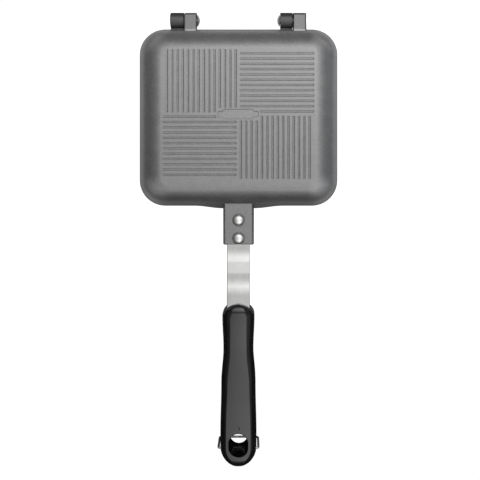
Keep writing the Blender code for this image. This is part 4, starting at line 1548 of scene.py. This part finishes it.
@dataclass
class Studio:
    """Pale floor, soft boxes, a bright ceiling with a dark horizon, and the camera straight above."""

    picture: int = 480
    sensor: float = 36.0
    focal: float = 681.3
    foot_of_plumb: tuple[float, float] = (249.6, 214.0)
    camera_place: tuple[float, float, float] = (9.3 * MM, 19.9 * MM, 596.0 * MM)
    floor_half: float = 60.0
    floor_drop: float = 0.05 * MM
    floor_colour: float = 0.60
    floor_glow: float = 1.0
    floor_middle: tuple[float, float, float] = (0.0, 101.0 * MM, 0.0)
    floor_reach: tuple[float, float] = (0.13, 0.20)
    lobes: tuple["SkyLobe | SoftBox", ...] = (
        SoftBox(((-60, 0.0), (-42, 0.06), (-28, 0.19), (-16, 0.42), (-8, 0.72), (-2, 0.99), (6, 1.26), (14, 1.36),
                 (22, 1.18), (30, 0.78), (42, 0.36), (60, 0.0)),
                ((-64, 0.0), (-44, 0.22), (-34, 0.70), (-26, 0.92), (-14, 0.86), (-7, 0.66), (-1, 0.60), (5, 0.80),
                 (12, 1.15), (19, 1.5), (26, 1.45), (34, 0.85), (44, 0.28), (60, 0.0))),
        SkyLobe("ambient", (0, 10), ((110, 0.0), (90, 0.05), (60, 0.14), (30, 0.18), (0, 0.2))),
        SkyLobe("side_box", (80, 5), ((36, 0.0), (24, 0.11), (10, 0.16), (0, 0.16)), (0.80, 0.90, 1.0)),
    )

    def camera(self) -> None:
        """Put the camera above the plumb point that the picture shows, looking straight down."""
        lens = bpy.data.cameras.new("camera")
        lens.sensor_width = self.sensor
        lens.lens = self.focal / self.picture * self.sensor
        lens.shift_x = (self.picture / 2 - self.foot_of_plumb[0]) / self.picture
        lens.shift_y = (self.foot_of_plumb[1] - self.picture / 2) / self.picture
        holder = bpy.data.objects.new("camera", lens)
        holder.location = self.camera_place
        bpy.context.scene.collection.objects.link(holder)
        bpy.context.scene.camera = holder

    def world(self) -> None:
        """Light the studio by the sum of the sky's lobes; the horizon is dim."""
        world = bpy.data.worlds.new("studio")
        bpy.context.scene.world = world
        world.use_nodes = True
        graph = Graph(world.node_tree)
        way = graph.node("ShaderNodeTexCoord").outputs["Generated"]
        total = None
        for lobe in self.lobes:
            light = lobe.light(graph, way)
            if total is not None:
                light = graph.node("ShaderNodeAddShader", {}, {0: total, 1: light}).outputs["Shader"]
            total = light
        graph.node("ShaderNodeOutputWorld", {}, {"Surface": total})

    def floor(self) -> None:
        """Lay the pale floor under the resting pan."""
        reach = self.floor_half
        corners = np.array([(-reach, -reach), (reach, -reach), (reach, reach), (-reach, reach)])
        corners = np.column_stack((corners, np.full(4, -self.floor_drop)))
        mesh = bpy.data.meshes.new("floor")
        mesh.from_pydata(corners.tolist(), [], [(0, 1, 2, 3)])
        graph = Surface("pale_paper")
        far = graph.node("ShaderNodeVectorMath", {"operation": "DISTANCE"}, {0: graph.place, 1: self.floor_middle})
        cloud = graph.noise(60 * MM, 2.0) * 0.03
        fall = Value(graph, far.outputs["Value"]).ramp(*self.floor_reach)
        paper = graph.blend(fall + cloud, (self.floor_colour,) * 3, (0.02, 0.02, 0.02))
        graph.feed(graph.shader.inputs["Base Color"], paper)
        graph.feed(graph.shader.inputs["Roughness"], 0.9)
        graph.feed(graph.shader.inputs["Emission Color"], (1.0, 1.0, 1.0, 1.0))
        seen = Value(graph, graph.node("ShaderNodeLightPath").outputs["Is Camera Ray"])
        graph.feed(graph.shader.inputs["Emission Strength"], seen * self.floor_glow)
        mesh.materials.append(graph.material)
        floor = bpy.data.objects.new("floor", mesh)
        bpy.context.scene.collection.objects.link(floor)

    def build(self) -> None:
        """Set up the whole studio."""
        self.camera()
        self.world()
        self.floor()
        bpy.context.scene.view_settings.view_transform = "Standard"


def main() -> None:
    """Build the studio, then each half and the bail."""
    logging.basicConfig(level=logging.INFO, format="%(name)s %(message)s")
    Studio().build()
    for half in Half:
        PanCasting(half).build()
        HingePin(half).build()
        for end, place in zip(("front", "rear"), LAYOUT.rivets):
            Rivet(half, end, place).build()
        Strap(half).build()
        GripMoulding(half).build()
    LatchBail().build()


if __name__ == "__main__":
    main()
